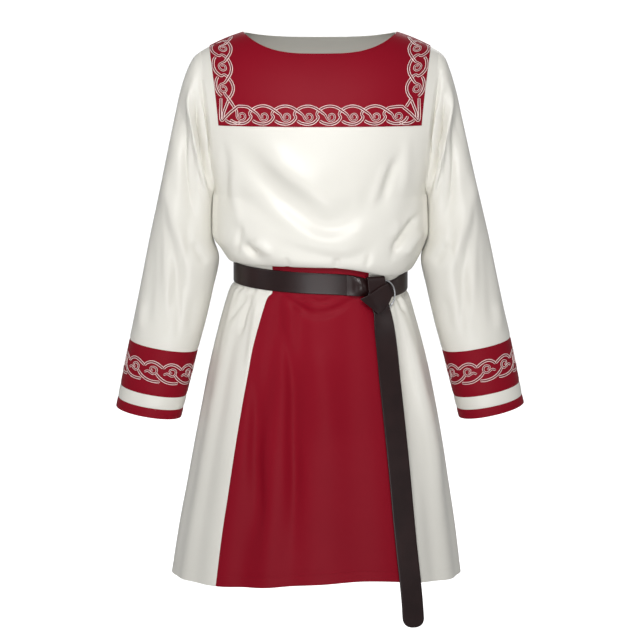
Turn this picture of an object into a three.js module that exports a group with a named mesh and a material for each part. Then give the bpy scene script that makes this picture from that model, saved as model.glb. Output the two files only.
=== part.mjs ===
// A Viking tunic with a ring belt, filled out as if it were worn, with no wearer inside.
// Millimetres, +Z up, +X towards the wearer's left, and the front faces -Y.
// The origin lies between the shoulders, where the wearer carries the tunic.
import * as THREE from "three";

// Cloth, leather and clearances
const CLOTH = 1.5;
const LEATHER = 2.5;
const SEAM_GAP = 0.3;
const MITRE_LIMIT = 0.15;
const LAYER_GAP = 0.3;

// Shoulders, neckline and armholes
const SHOULDER_X = 205;
const SHOULDER_Z = -16;
const NECK_X = 131;
const NECK_Z = 17;
const NECK_POWER = 3.3;
const FRONT_NECK_DROP = 34;
const BACK_NECK_DROP = 10;
const RIDGE_POWER = 2.6;
const SHOULDER_ROUNDING = 2.2;
const SHOULDER_SPREAD = 70;
const YOKE_TOP_X = 189;
const UNDERARM_Z = -260;
const BODY_SQUARENESS = 2.3;
const SLEEVE_SQUARENESS = 2.15;
const CAP_SQUARENESS = 2.9;

// Grid of the cloth: columns from the centre to a side, and the columns that seams follow
const SIDE_COLUMN = 16;
const PANEL_COLUMN = 7;
const NECK_COLUMN = 9;
const YOKE_COLUMN = 13;
const ARMHOLE_ROWS = 10;
const SLEEVE_COLUMNS = 2 * ARMHOLE_ROWS;

// Ring belt. The strap is narrower where it passes the ring, and the belt dips beside the ring.
const BELT_HALF_WIDTH = 18;
const BELT_HALF_AT_RING = 14;
const BELT_Z = -400;
const BELT_DIP = 10;
const BELT_DIP_ANGLE = 46;
const BELT_DIP_SPREAD = 22;
const RING_RADIUS = 26.4;
const RING_WIRE = 1.6;
const RING_DROP = 9.5;
const RING_ANGLE = 40.5;
const RING_OUT = 5.2;

// Rows of values under a list of column names, as objects
const table = (columns, rows) =>
  rows.map((row) => Object.fromEntries(columns.map((column, i) => [column, row[i]])));

// Rings of the body below the underarm. z is the height at the belt's mean level, follow is how far
// a ring follows the belt's tilt, and lift raises the blouse's lower edge at the front and back.
// half, front and back are the sizes from the centre, and panel and yoke are the angles in degrees
// of the columns that the skirt panel's seams and the yoke's sides follow.
const BODY = table(
  ["name", "z", "follow", "lift", "half", "front", "back", "shift", "panel", "yoke"],
  [
    ["underarm", UNDERARM_Z, 0, 0, 181, 120, 112, 0, 28, 65],
    ["chest", -300, 0.1, 0, 182, 125, 117, 0, 28, 66],
    ["blouse", -338, 0.5, 0.2, 181, 131, 121, 0, 29, 68],
    ["blouse_fall", -362, 0.9, 0.7, 171, 130, 120, 0.5, 30, 70],
    ["blouse_edge", -380.3, 1, 1, 158, 120, 112, 1, 30.3, 71],
    ["blouse_tuck", -374.5, 1, 1, 151.6, 112.3, 105.3, 1, 30.3, 71],
    ["belt_top", -380.5, 1, 0, 148.5, 108.5, 101.5, 1, 30.5, 71],
    ["belt_bottom", -419.5, 1, 0, 148.5, 108.5, 101.5, 1, 30.5, 71],
    ["gathers", -430, 0.9, 0, 155, 109.2, 103, -1, 31.7, 71],
    ["hip", -482, 0.5, 0, 171, 115, 110, -2, 34.2, 72],
    ["thigh", -552, 0.2, 0, 189, 126, 120, -2, 36.3, 73],
    ["flare_1", -623, 0, 0, 203.5, 136, 130, -2, 37.8, 73.5],
    ["flare_2", -694, 0, 0, 217, 145, 139, -2.5, 38.7, 74],
    ["flare_3", -766, 0, 0, 229.5, 151, 145, -3.5, 39.3, 74],
    ["flare_4", -837, 0, 0, 242, 157, 151, -4.8, 39.7, 74],
    ["hem", -926, 0, 0, 255, 163, 157, -6.3, 40, 74],
  ],
);
const TUCK = BODY.findIndex((row) => row.name === "blouse_tuck");
const BELT_TOP = BODY.findIndex((row) => row.name === "belt_top");
const HIP = BODY.findIndex((row) => row.name === "hip");
const HEM = BODY.length - 1;

// The hem rises at the front, left of the middle
const HEM_RISE = 14;
const HEM_RISE_ANGLE = 17;
const HEM_RISE_SPREAD = 27;

// Rows of the cloth grid below the underarm, in steps between the rings above
const BODY_STEPS = [2, 2, 2, 2, 2, 2, 1, 1, 2, 1, 1, 1, 1, 1, 1];

// Flutes of the skirt, by angle in degrees from the front centre. A negative depth is a trough.
const SKIRT_FOLDS = [
  { waist: -76, hem: -74, spread: 9, depth: -5 },
  { waist: -52, hem: -55, spread: 8, depth: -6 },
  { waist: -19, hem: -27, spread: 7, depth: -9 },
  { waist: -8, hem: -8, spread: 6.5, depth: -8 },
  { waist: 14, hem: 13, spread: 9, depth: -5 },
  { waist: 56, hem: 53, spread: 8, depth: -9 },
  { waist: 78, hem: 76, spread: 8, depth: -5 },
  { waist: 104, hem: 102, spread: 9, depth: -7 },
  { waist: 131, hem: 128, spread: 9, depth: -9 },
  { waist: 153, hem: 150, spread: 8, depth: -8 },
  { waist: 176, hem: 178, spread: 9, depth: -8 },
  { waist: 199, hem: 203, spread: 8, depth: -9 },
  { waist: 224, hem: 228, spread: 9, depth: -8 },
  { waist: 250, hem: 255, spread: 9, depth: -6 },
];

// Soft creases of the bodice, as lines in the front view: from, to, width and depth
const FRONT_CREASES = [
  { x0: -150, z0: -165, x1: -20, z1: -262, width: 24, depth: -7 },
  { x0: -168, z0: -240, x1: -45, z1: -316, width: 20, depth: -6 },
  { x0: -60, z0: -205, x1: 40, z1: -225, width: 30, depth: 3 },
  { x0: 140, z0: -180, x1: 82, z1: -290, width: 22, depth: -6 },
  { x0: 165, z0: -255, x1: 118, z1: -350, width: 15, depth: -7 },
  { x0: -140, z0: -318, x1: -100, z1: -372, width: 13, depth: -7 },
  { x0: -20, z0: -318, x1: 70, z1: -322, width: 20, depth: -4 },
];
const BACK_CREASES = [
  { x0: -150, z0: -150, x1: -30, z1: -270, width: 26, depth: -6 },
  { x0: 150, z0: -160, x1: 35, z1: -285, width: 26, depth: -7 },
  { x0: -165, z0: -250, x1: -95, z1: -345, width: 18, depth: -6 },
  { x0: 165, z0: -245, x1: 100, z1: -350, width: 18, depth: -6 },
  { x0: -40, z0: -322, x1: 50, z1: -326, width: 20, depth: -4 },
];

// Rings of a sleeve, each from its outer point to its inner point in the front view, with its half
// depth, how far its middle lies forward, and how far its front hangs below its middle. The
// wearer's left sleeve is carried closer: its outer point lies nearer and higher by the last two.
const SLEEVE = table(
  ["name", "outX", "outZ", "inX", "inZ", "depth", "forward", "droop", "near", "rise"],
  [
    ["armhole", 205, -16, 181, -260, 50, 0, 0, 0, 0],
    ["cap_1", 217, -26, 183.4, -264, 56, 0, 0, 2.5, 0],
    ["cap_2", 229, -49, 184.6, -268, 59, 0, 0, 5, 0],
    ["cap_3", 240, -82, 185, -273, 61, 0, 0, 6, 0],
    ["cap_4", 250, -126, 185.2, -279, 62, 0, 0, 6, 0],
    ["upper_1", 261, -177, 185.4, -288, 63, 1, 0, 5.5, 0],
    ["upper_2", 272, -230, 185.4, -304, 63.5, 1, 0, 4.5, 0],
    ["upper_3", 284, -286, 184.5, -336, 63, 2, 0, 3, 0],
    ["elbow", 297, -346, 174.5, -373, 62, 3, 0, 2, 0],
    ["lower_1", 309, -406, 185.5, -427, 61, 4, 1, 1.5, 1],
    ["lower_2", 320, -460, 198, -481, 60, 5, 2, 1, 2],
    ["band_top", 331, -512, 212, -532, 58.5, 6, 3, 0, 3],
    ["band_low", 347.5, -591, 232, -611, 55.5, 7, 4, 0, 4],
    ["stripe_low", 352, -613, 237.5, -632.7, 54.7, 7.5, 4, 0, 4],
    ["edge", 355.5, -629.5, 241.5, -649, 54, 8, 4, 0, 6],
  ],
);
const sleeveRow = (name) => SLEEVE.findIndex((row) => row.name === name);

// Creases of a sleeve: the share of the way from the outer to the inner line, and the ring, at
// each end. side is 1 on the front and -1 on the back, and width is a share too.
const SLEEVE_CREASES = [
  { side: 1, share0: 0.3, ring0: 2, share1: 0.74, ring1: 6, width: 0.06, depth: -6 },
  { side: 1, share0: 0.46, ring0: 2, share1: 0.86, ring1: 5.6, width: 0.045, depth: -6 },
  { side: 1, share0: 0.62, ring0: 6, share1: 0.44, ring1: 10.6, width: 0.09, depth: -5 },
  { side: 1, share0: 0.2, ring0: 5, share1: 0.24, ring1: 9.5, width: 0.08, depth: -3 },
  { side: -1, share0: 0.3, ring0: 2, share1: 0.72, ring1: 6, width: 0.07, depth: -6 },
  { side: -1, share0: 0.6, ring0: 5.5, share1: 0.4, ring1: 10, width: 0.09, depth: -5 },
];

// The free end of the belt, in the ring's own frame: it folds over the belt's upper edge and
// comes down before the ring. Sizes are from the ring's centre.
const TAIL_FOLD = [
  { along: -14, up: 28.4, out: 1.6 },
  { along: -14, up: 30.4, out: 2.1 },
  { along: -14, up: 32, out: 5 },
  { along: -14, up: 30.2, out: 8 },
  { along: -13.6, up: 26.5, out: 8.5 },
  { along: -12.5, up: 16, out: 8.5 },
  { along: -10.5, up: 4, out: 8.5 },
  { along: -8, up: -8, out: 8.5 },
  { along: -5, up: -20, out: 8.7 },
  { along: -1.5, up: -32, out: 9.6 },
];

// Below the knot it hangs before the skirt. x and z are its middle line in the front view, turn is
// how far its face is turned to the left in degrees, and half is its half width, rounded at the end.
const TAIL_HANG = [
  { x: 110, z: -482, turn: 24, half: 19 },
  { x: 115, z: -525, turn: 17, half: 19 },
  { x: 119.5, z: -572, turn: 14, half: 19 },
  { x: 125, z: -623, turn: 13, half: 19 },
  { x: 131, z: -680, turn: 12, half: 19 },
  { x: 137, z: -740, turn: 12, half: 19 },
  { x: 142.5, z: -800, turn: 12, half: 19 },
  { x: 148.5, z: -860, turn: 12, half: 19 },
  { x: 155, z: -918, turn: 12, half: 19 },
  { x: 158.5, z: -955, turn: 12, half: 19 },
  { x: 160.2, z: -980, turn: 12, half: 19 },
  { x: 160.6, z: -986, turn: 12, half: 17.6 },
  { x: 160.9, z: -991, turn: 12, half: 14.4 },
  { x: 161.1, z: -994, turn: 12, half: 10 },
  { x: 161.2, z: -995.5, turn: 12, half: 5 },
];
const TAIL_CLEARANCE = 1.5;

// The fixed end wraps the ring's side, and the free end crosses before the knot. Each row is a line
// across the strap, from its upper end to its lower end in the ring's frame.
const LOOP = [
  { along0: -53.6, up0: 31.5, along1: -53.6, up1: -1, out0: -6.4, out1: -6.4 },
  { along0: -45, up0: 31, along1: -44, up1: -1, out0: -1, out1: -1 },
  { along0: -39, up0: 30, along1: -36, up1: 0, out0: 2.6, out1: 2.6 },
  { along0: -35.5, up0: 28.5, along1: -30.5, up1: 2, out0: 3.2, out1: 3.2 },
];
const WRAP = [
  { along0: 7, up0: 20.5, along1: 17, up1: -2, out0: 11.4, out1: 11.4 },
  { along0: -4, up0: 17.5, along1: 9, up1: -15, out0: 11.4, out1: 11.6 },
  { along0: -16, up0: 11.5, along1: 1, up1: -25, out0: 11.4, out1: 12.4 },
  { along0: -28, up0: 4.5, along1: -7, up1: -33, out0: 11.2, out1: 13.4 },
  { along0: -37, up0: -1.5, along1: -14.5, up1: -39, out0: 8, out1: 14.2 },
];

const radians = THREE.MathUtils.degToRad;
const degrees = THREE.MathUtils.radToDeg;
const clamp01 = (value) => THREE.MathUtils.clamp(value, 0, 1);
const mix = THREE.MathUtils.lerp;
const bell = (value) => Math.exp(-value * value);

// A smooth curve through one column of a table, which never overshoots its rows
function track(rows, key, flatStart = false) {
  const values = rows.map((row) => row[key]);
  const last = values.length - 1;
  const steps = values.slice(1).map((value, i) => value - values[i]);
  const slopes = values.map((_, i) => {
    if (i === 0) return flatStart ? 0 : steps[0];
    if (i === last) return steps[last - 1];
    const [before, after] = [steps[i - 1], steps[i]];
    return before * after > 0 ? (2 * before * after) / (before + after) : 0;
  });
  return (at) => {
    const i = Math.min(Math.floor(at), last - 1);
    const t = at - i;
    const bend = slopes[i] * (1 - t) - slopes[i + 1] * t;
    return values[i] + steps[i] * t * t * (3 - 2 * t) + bend * t * (1 - t);
  };
}

const bodyTrack = Object.fromEntries(
  ["z", "follow", "lift", "half", "front", "back", "shift", "panel", "yoke"].map((key) => [
    key,
    track(BODY, key, key !== "z"),
  ]),
);
const sleeveTrack = Object.fromEntries(
  Object.keys(SLEEVE[0])
    .slice(1)
    .map((key) => [key, track(SLEEVE, key)]),
);

// The turn in degrees from a direction, given in degrees, to an angle
function turnFrom(direction, angle) {
  const turn = direction - radians(angle);
  return degrees(Math.atan2(Math.sin(turn), Math.cos(turn)));
}

// How far the belt's middle lies above its mean level, at an angle from the front centre.
// It hangs lower at the front and at the wearer's left, where the ring pulls it down.
function beltTilt(angle) {
  const dip = BELT_DIP * bell(turnFrom(angle, BELT_DIP_ANGLE) / BELT_DIP_SPREAD);
  return -6.8 * Math.sin(angle) - 4.3 * Math.cos(angle) - dip;
}

// The angle of a column, which follows the panel's seam and the yoke's side
function columnAngle(column, row) {
  const c = Math.abs(column);
  const panel = bodyTrack.panel(row);
  const yoke = bodyTrack.yoke(row);
  let angle = mix(yoke, 90, (c - YOKE_COLUMN) / (SIDE_COLUMN - YOKE_COLUMN));
  if (c <= PANEL_COLUMN) angle = (panel * c) / PANEL_COLUMN;
  else if (c <= YOKE_COLUMN) {
    angle = mix(panel, yoke, (c - PANEL_COLUMN) / (YOKE_COLUMN - PANEL_COLUMN));
  }
  return Math.sign(column) * radians(angle);
}

// A line's pull on a point of the front view: full on the line, fading beside it and to its ends
function creaseAt(x, z, crease) {
  const dx = crease.x1 - crease.x0;
  const dz = crease.z1 - crease.z0;
  const length = Math.hypot(dx, dz);
  const along = ((x - crease.x0) * dx + (z - crease.z0) * dz) / length ** 2;
  const across = ((x - crease.x0) * dz - (z - crease.z0) * dx) / length;
  const past = Math.max(0, along - 1, -along) * length;
  const taper = 0.35 + 0.65 * Math.sin(Math.PI * clamp01(along));
  return crease.depth * taper * bell(across / crease.width) * bell(past / crease.width);
}

// How far the skirt stands out at an angle, from nothing at the belt to the full flutes at the hem
function skirtFold(angle, row) {
  const down = clamp01((row - BELT_TOP - 1) / (HEM - BELT_TOP - 1));
  const grown = Math.min(1, 0.22 * clamp01(4 * down) + down ** 0.8);
  return SKIRT_FOLDS.reduce((sum, fold) => {
    const off = turnFrom(angle, mix(fold.waist, fold.hem, Math.min(1, 1.6 * down)));
    const spread = fold.spread * mix(0.6, 1, down);
    return sum + fold.depth * grown * clamp01(8 * down) * bell(off / spread);
  }, 0);
}

// Front and back are one form, side 1 and -1. A row from -1 to 0 runs from the neckline and
// shoulder seam to the underarm, and a row above 0 is a place in the table of rings.
function topEdge(side, column) {
  const c = Math.abs(column);
  const drop = side > 0 ? FRONT_NECK_DROP : BACK_NECK_DROP;
  const share = c / NECK_COLUMN;
  if (share < 1) return { x: NECK_X * share, z: NECK_Z - drop * (1 - share ** NECK_POWER) };
  const x =
    c <= YOKE_COLUMN
      ? mix(NECK_X, YOKE_TOP_X, (c - NECK_COLUMN) / (YOKE_COLUMN - NECK_COLUMN))
      : mix(YOKE_TOP_X, SHOULDER_X, (c - YOKE_COLUMN) / (SIDE_COLUMN - YOKE_COLUMN));
  return { x, z: ridge(x) };
}

// The height of the shoulder line, carried on over the neck
function ridge(x) {
  const fall = (share) => 1 - share ** RIDGE_POWER;
  const height = fall(Math.abs(x) / SHOULDER_X) / fall(NECK_X / SHOULDER_X);
  return SHOULDER_Z + (NECK_Z - SHOULDER_Z) * height;
}

// The depth of the shoulders and chest at a point of the front view: a rounded fall from the
// shoulder line, times a rounded fall towards the sides
function chestDepth(side, x, z) {
  const drop = clamp01((ridge(x) - z) / (ridge(x) - UNDERARM_Z));
  const fall = (1 - (1 - drop) ** SHOULDER_ROUNDING) ** (1 / SHOULDER_ROUNDING);
  const down = (SHOULDER_Z - z) / (SHOULDER_Z - UNDERARM_Z);
  const half = BODY[0].half + SHOULDER_SPREAD * (1 - down);
  const out = clamp01(1 - Math.min(1, Math.abs(x) / half) ** BODY_SQUARENESS) ** (1 / BODY_SQUARENESS);
  return (side > 0 ? BODY[0].front : BODY[0].back) * fall * out;
}

function bodyPoint(side, column, row) {
  const creases = side > 0 ? FRONT_CREASES : BACK_CREASES;
  const inside = Math.cos((Math.PI / 2) * (Math.abs(column) / SIDE_COLUMN)) ** 0.7;
  const creased = (x, z) => inside * creases.reduce((sum, crease) => sum + creaseAt(x, z, crease), 0);
  const sideways = Math.sign(column);
  if (row <= 0) {
    const down = row + 1;
    const top = topEdge(side, column);
    const round = Math.abs(Math.sin(columnAngle(column, 0))) ** (2 / BODY_SQUARENESS);
    const x = mix(BODY[0].half * round, top.x, (1 - down) ** 2);
    const z = mix(SHOULDER_Z, UNDERARM_Z, down) + (top.z - SHOULDER_Z) * Math.max(0, 1 - 2 * down);
    const depth = chestDepth(side, x, z) + creased(sideways * x, z) * clamp01(3 * down);
    return new THREE.Vector3(sideways * x, -side * depth, z);
  }
  const angle = columnAngle(column, row);
  const around = side > 0 ? angle : Math.PI - angle;
  const power = 2 / BODY_SQUARENESS;
  const lift = 8 * bodyTrack.lift(row) * Math.cos(angle) ** 2 * (side > 0 ? 1 : 0.6);
  const low = Math.max(0, (row - HIP) / (HEM - HIP));
  const rise = HEM_RISE * low ** 2 * bell(turnFrom(around, HEM_RISE_ANGLE) / HEM_RISE_SPREAD);
  const z = bodyTrack.z(row) + bodyTrack.follow(row) * beltTilt(around) + lift + rise;
  const depth = side > 0 ? bodyTrack.front(row) : bodyTrack.back(row);
  const x = sideways * bodyTrack.half(row) * Math.abs(Math.sin(angle)) ** power;
  const y = -side * depth * Math.abs(Math.cos(angle)) ** power;
  const point = new THREE.Vector3(x, y, z);
  const out = new THREE.Vector3(x / bodyTrack.half(row) ** 2, y / depth ** 2, 0).normalize();
  point.addScaledVector(out, skirtFold(around, row));
  point.y -= side * creased(x, z) * clamp01(TUCK - 1 - row);
  point.x += bodyTrack.shift(row);
  return point;
}

// The share of the way down the armhole at each of its rows, closer together at its ends
const armholeShare = (i) =>
  0.3 * (1 - Math.cos((Math.PI * i) / ARMHOLE_ROWS)) + (0.4 * i) / ARMHOLE_ROWS;

// A sleeve's point. share runs from 0 on the outer line to 1 on the inner one, and side is 1 on
// the front and -1 on the back. wearer is 1 for the wearer's left sleeve and -1 for the right.
function sleevePoint(wearer, side, share, ring) {
  if (ring === 0) {
    const seam = bodyPoint(side, SIDE_COLUMN, share - 1);
    return new THREE.Vector3(wearer * seam.x, seam.y, seam.z);
  }
  const at = Object.fromEntries(
    Object.entries(sleeveTrack).map(([key, value]) => [key, value(ring)]),
  );
  const power = mix(CAP_SQUARENESS, SLEEVE_SQUARENESS, clamp01(ring / 6));
  const round = (1 - Math.abs(1 - 2 * share) ** power) ** (1 / power);
  const crease = SLEEVE_CREASES.reduce((sum, fold) => {
    const along = (ring - fold.ring0) / (fold.ring1 - fold.ring0);
    if (fold.side !== side || along < 0 || along > 1) return sum;
    const off = (share - mix(fold.share0, fold.share1, along)) / fold.width;
    return sum + fold.depth * Math.sin(Math.PI * along) * bell(off);
  }, 0);
  const closer = wearer > 0 ? 1 : 0;
  const x = mix(at.outX - closer * at.near, at.inX, share);
  const y = -at.forward - side * (at.depth * round + crease);
  const z = mix(at.outZ + closer * at.rise, at.inZ, share) - at.droop * side * round;
  return new THREE.Vector3(wearer * x, y, z);
}

// A cloth grid: rows of points, with a flag for a grid that closes on itself across its columns
const grid = (rows, closed = false) => ({ rows, closed, width: rows[0].length });

const bodyRows = [];
for (let i = 0; i < ARMHOLE_ROWS; i++) bodyRows.push(armholeShare(i) - 1);
BODY_STEPS.forEach((count, section) => {
  for (let i = 0; i < count; i++) bodyRows.push(section + i / count);
});
bodyRows.push(HEM);
const rowAt = (value) => bodyRows.indexOf(value);

const acrossBody = Array.from({ length: 2 * SIDE_COLUMN + 1 }, (_, i) => i - SIDE_COLUMN);
const frontGrid = grid(bodyRows.map((row) => acrossBody.map((column) => bodyPoint(1, column, row))));
const backGrid = grid(bodyRows.map((row) => acrossBody.map((column) => bodyPoint(-1, -column, row))));

const sleeveRings = SLEEVE.map((_, ring) => ring);
sleeveRings.splice(sleeveRow("band_low"), 0, (sleeveRow("band_top") + sleeveRow("band_low")) / 2);
function sleeveGrid(wearer) {
  return grid(
    sleeveRings.map((ring) =>
      Array.from({ length: SLEEVE_COLUMNS }, (_, i) => {
        const outward = i <= ARMHOLE_ROWS;
        const share = armholeShare(outward ? i : SLEEVE_COLUMNS - i);
        return sleevePoint(wearer, outward === wearer < 0 ? 1 : -1, share, ring);
      }),
    ),
    true,
  );
}
const sleeveGrids = { left: sleeveGrid(1), right: sleeveGrid(-1) };

// The sum of the directions of the faces round each point of a list of grids
const keyOf = (point) => point.toArray().map((value) => Math.round(value * 1000) + 0).join();
function faceSums(grids) {
  const sums = new Map();
  for (const { rows, closed, width } of grids) {
    for (let r = 0; r + 1 < rows.length; r++) {
      for (let c = 0; c < (closed ? width : width - 1); c++) {
        const next = (c + 1) % width;
        const corners = [rows[r][c], rows[r + 1][c], rows[r + 1][next], rows[r][next]];
        const across = corners[3].clone().sub(corners[1]);
        const face = corners[2].clone().sub(corners[0]).cross(across).normalize();
        for (const corner of corners) {
          const key = keyOf(corner);
          if (!sums.has(key)) sums.set(key, new THREE.Vector3());
          sums.get(key).add(face);
        }
      }
    }
  }
  return sums;
}

// The way through the cloth at a point. Pieces that meet at a seam share it, and at the armhole it
// is mitred between the body and the sleeve, so that both keep their thickness up to the seam.
const bodySums = faceSums([frontGrid, backGrid]);
const sleeveSums = faceSums([sleeveGrids.left, sleeveGrids.right]);
function normalAt(point) {
  const key = keyOf(point);
  const body = bodySums.get(key)?.clone().normalize();
  const sleeve = sleeveSums.get(key)?.clone().normalize();
  if (!body || !sleeve) return body ?? sleeve;
  const mitre = body.clone().add(sleeve);
  return mitre.divideScalar(Math.max(MITRE_LIMIT, 1 + body.dot(sleeve)));
}

// At each point of the armhole seams, the direction that parts the body from the sleeve
const partings = new Map();
for (const { rows, width } of Object.values(sleeveGrids)) {
  rows[0].forEach((point, i) => {
    const along = rows[0][(i + 1) % width].clone().sub(rows[0][(i + width - 1) % width]);
    const parting = normalAt(point).cross(along).normalize();
    const bodySide = bodySums.get(keyOf(point)).clone().cross(along);
    partings.set(keyOf(point), parting.multiplyScalar(Math.sign(parting.dot(bodySide))));
  });
}

// The closed solid between two layers of a grid's points, over the cells that holds() keeps.
// Each rim is drawn back by half the seam gap, towards the piece's own cells.
function clothSolid({ rows, closed, width }, holds, inner, outer) {
  const height = rows.length;
  const cell = (r, c) => {
    if (r < 0 || r >= height - 1) return 0;
    if (!closed && (c < 0 || c >= width - 1)) return 0;
    return holds(r, (c + width) % width) ? 1 : 0;
  };
  const position = [];
  for (const layer of [outer, inner]) {
    for (let r = 0; r < height; r++) {
      for (let c = 0; c < width; c++) {
        const point = rows[r][c];
        const [a, b, d, e] = [cell(r - 1, c - 1), cell(r - 1, c), cell(r, c - 1), cell(r, c)];
        const aside = Math.sign(b + e - a - d);
        const down = Math.sign(d + e - a - b);
        const drawn = point.clone().addScaledVector(normalAt(point), layer);
        const parting = partings.get(keyOf(point));
        if (parting) drawn.addScaledVector(parting, (closed ? -SEAM_GAP : SEAM_GAP) / 2);
        for (const [rowStep, columnStep] of [[0, aside], [down, 0]]) {
          if (!rowStep && !columnStep) continue;
          if (parting && (closed || (columnStep && r < ARMHOLE_ROWS))) continue;
          const neighbour = rows[r + rowStep][(c + columnStep + width) % width];
          drawn.addScaledVector(neighbour.clone().sub(point).normalize(), SEAM_GAP / 2);
        }
        position.push(...drawn.toArray());
      }
    }
  }
  const index = [];
  const below = height * width;
  const at = (r, c) => r * width + ((c + width) % width);
  const quad = (p, q, s, t) => index.push(p, q, s, p, s, t);
  const gridPoint = (i) => rows[Math.floor(i / width)][i % width];
  const span = (i, j) => gridPoint(i).distanceTo(gridPoint(j));
  for (let r = 0; r < height - 1; r++) {
    for (let c = 0; c < (closed ? width : width - 1); c++) {
      if (!cell(r, c)) continue;
      const [p, q, s, t] = [at(r, c), at(r + 1, c), at(r + 1, c + 1), at(r, c + 1)];
      const [f, g, h, k] = span(p, s) <= span(q, t) ? [p, q, s, t] : [q, s, t, p];
      quad(f, g, h, k);
      quad(below + f, below + k, below + h, below + g);
      if (!cell(r, c - 1)) quad(p, below + p, below + q, q);
      if (!cell(r, c + 1)) quad(s, below + s, below + t, t);
      if (!cell(r - 1, c)) quad(t, below + t, below + p, p);
      if (!cell(r + 1, c)) quad(q, below + q, below + s, s);
    }
  }
  return compact(position, index);
}

// The geometry of the points that the faces use
function compact(position, index) {
  const kept = new Map();
  const used = [];
  const faces = index.map((i) => {
    if (!kept.has(i)) {
      kept.set(i, used.length / 3);
      used.push(...position.slice(3 * i, 3 * i + 3));
    }
    return kept.get(i);
  });
  const geometry = new THREE.BufferGeometry();
  geometry.setAttribute("position", new THREE.Float32BufferAttribute(used, 3));
  geometry.setIndex(faces);
  geometry.computeVertexNormals();
  return geometry;
}

// A strip of leather along a route of frames, each with its middle, its outward direction, the
// direction of its upper edge and its half width there
function strapSolid(frames, across = 1) {
  const position = [];
  for (const layer of [LEATHER / 2, -LEATHER / 2]) {
    for (const { middle, out, up, half } of frames) {
      for (let i = 0; i <= across; i++) {
        const point = middle.clone().addScaledVector(out, layer);
        position.push(...point.addScaledVector(up, half * (1 - (2 * i) / across)).toArray());
      }
    }
  }
  const width = across + 1;
  const below = frames.length * width;
  const index = [];
  const quad = (p, q, s, t) => index.push(p, q, s, p, s, t);
  for (let r = 0; r < frames.length - 1; r++) {
    for (let c = 0; c < across; c++) {
      const [p, t] = [r * width + c, r * width + c + 1];
      const [q, s] = [p + width, t + width];
      quad(p, t, s, q);
      quad(below + q, below + s, below + t, below + p);
      if (c === 0) quad(q, below + q, below + p, p);
      if (c === across - 1) quad(t, below + t, below + s, s);
      if (r === 0) quad(p, below + p, below + t, t);
      if (r === frames.length - 2) quad(s, below + s, below + q, q);
    }
  }
  return compact(position, index);
}

const white = new THREE.MeshStandardMaterial({ color: 0xe6e3d8, roughness: 0.5, metalness: 0 });
const red = new THREE.MeshStandardMaterial({ color: 0x8f1a2a, roughness: 0.6, metalness: 0 });
const leather = new THREE.MeshStandardMaterial({ color: 0x33231f, roughness: 0.4, metalness: 0 });
const steel = new THREE.MeshStandardMaterial({ color: 0xb9bbbd, roughness: 0.25, metalness: 1 });

const tunic = new THREE.Group();
function add(name, geometry, material) {
  const mesh = new THREE.Mesh(geometry, material);
  mesh.name = name;
  tunic.add(mesh);
}

// Front, with the skirt panel's place left open, back, and the panel
const inPanel = (r, c) => r >= rowAt(TUCK) && Math.abs(c + 0.5 - SIDE_COLUMN) < PANEL_COLUMN;
const inYoke = (r, c) => r < ARMHOLE_ROWS / 2 && Math.abs(c + 0.5 - SIDE_COLUMN) < YOKE_COLUMN;
add("front", clothSolid(frontGrid, (r, c) => !inPanel(r, c), -CLOTH, 0), white);
add("back", clothSolid(backGrid, () => true, -CLOTH, 0), white);
add("skirt_panel", clothSolid(frontGrid, inPanel, -CLOTH, 0), red);
add("yoke", clothSolid(frontGrid, inYoke, LAYER_GAP, LAYER_GAP + CLOTH), red);

// Sleeves, each with a patterned band, a plain stripe and a narrow edge sewn on below it
const sleevePieces = [
  { name: "sleeve", top: "armhole", bottom: "band_top", material: white },
  { name: "cuff_band", top: "band_top", bottom: "band_low", material: red },
  { name: "cuff_stripe", top: "band_low", bottom: "stripe_low", material: white },
  { name: "cuff_edge", top: "stripe_low", bottom: "edge", material: red },
];
for (const [wearer, cloth] of Object.entries(sleeveGrids)) {
  for (const { name, top, bottom, material } of sleevePieces) {
    const first = sleeveRings.indexOf(sleeveRow(top));
    const end = sleeveRings.indexOf(sleeveRow(bottom));
    add(`${name}_${wearer}`, clothSolid(cloth, (r) => r >= first && r < end, -CLOTH, 0), material);
  }
}

// The waist under the belt in plan: the point and the outward direction at an angle from the front
const waist = BODY[BELT_TOP];
function waistFrame(angle) {
  const depth = Math.cos(angle) > 0 ? waist.front : waist.back;
  const power = 2 / BODY_SQUARENESS;
  const x = waist.half * Math.sign(Math.sin(angle)) * Math.abs(Math.sin(angle)) ** power;
  const y = -depth * Math.sign(Math.cos(angle)) * Math.abs(Math.cos(angle)) ** power;
  const out = new THREE.Vector3(x / waist.half ** 2, y / depth ** 2, 0).normalize();
  const middle = new THREE.Vector3(x + waist.shift, y, BELT_Z + beltTilt(angle));
  return { middle, out };
}

// The strap lies on the waist, from one side of the ring round the back to the other side
const frontAngles = acrossBody.map((column) => columnAngle(column, BELT_TOP));
const backAngles = frontAngles.slice(1, -1).map((angle) => Math.PI - angle).reverse();
const nearRing = frontAngles.findIndex((angle) => angle > radians(RING_ANGLE));
const strapAngles = [
  ...frontAngles.slice(nearRing),
  ...backAngles,
  ...frontAngles.slice(0, nearRing).map((angle) => angle + 2 * Math.PI),
];
const up = new THREE.Vector3(0, 0, 1);
const strap = strapAngles.map((angle, i) => {
  const { middle, out } = waistFrame(angle);
  const fromEnd = Math.min(i, strapAngles.length - 1 - i);
  const half = mix(BELT_HALF_AT_RING, BELT_HALF_WIDTH, clamp01(fromEnd / 5));
  return { middle: middle.addScaledVector(out, LAYER_GAP + LEATHER / 2), out, up, half };
});
add("belt_strap", strapSolid(strap), leather);

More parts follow.
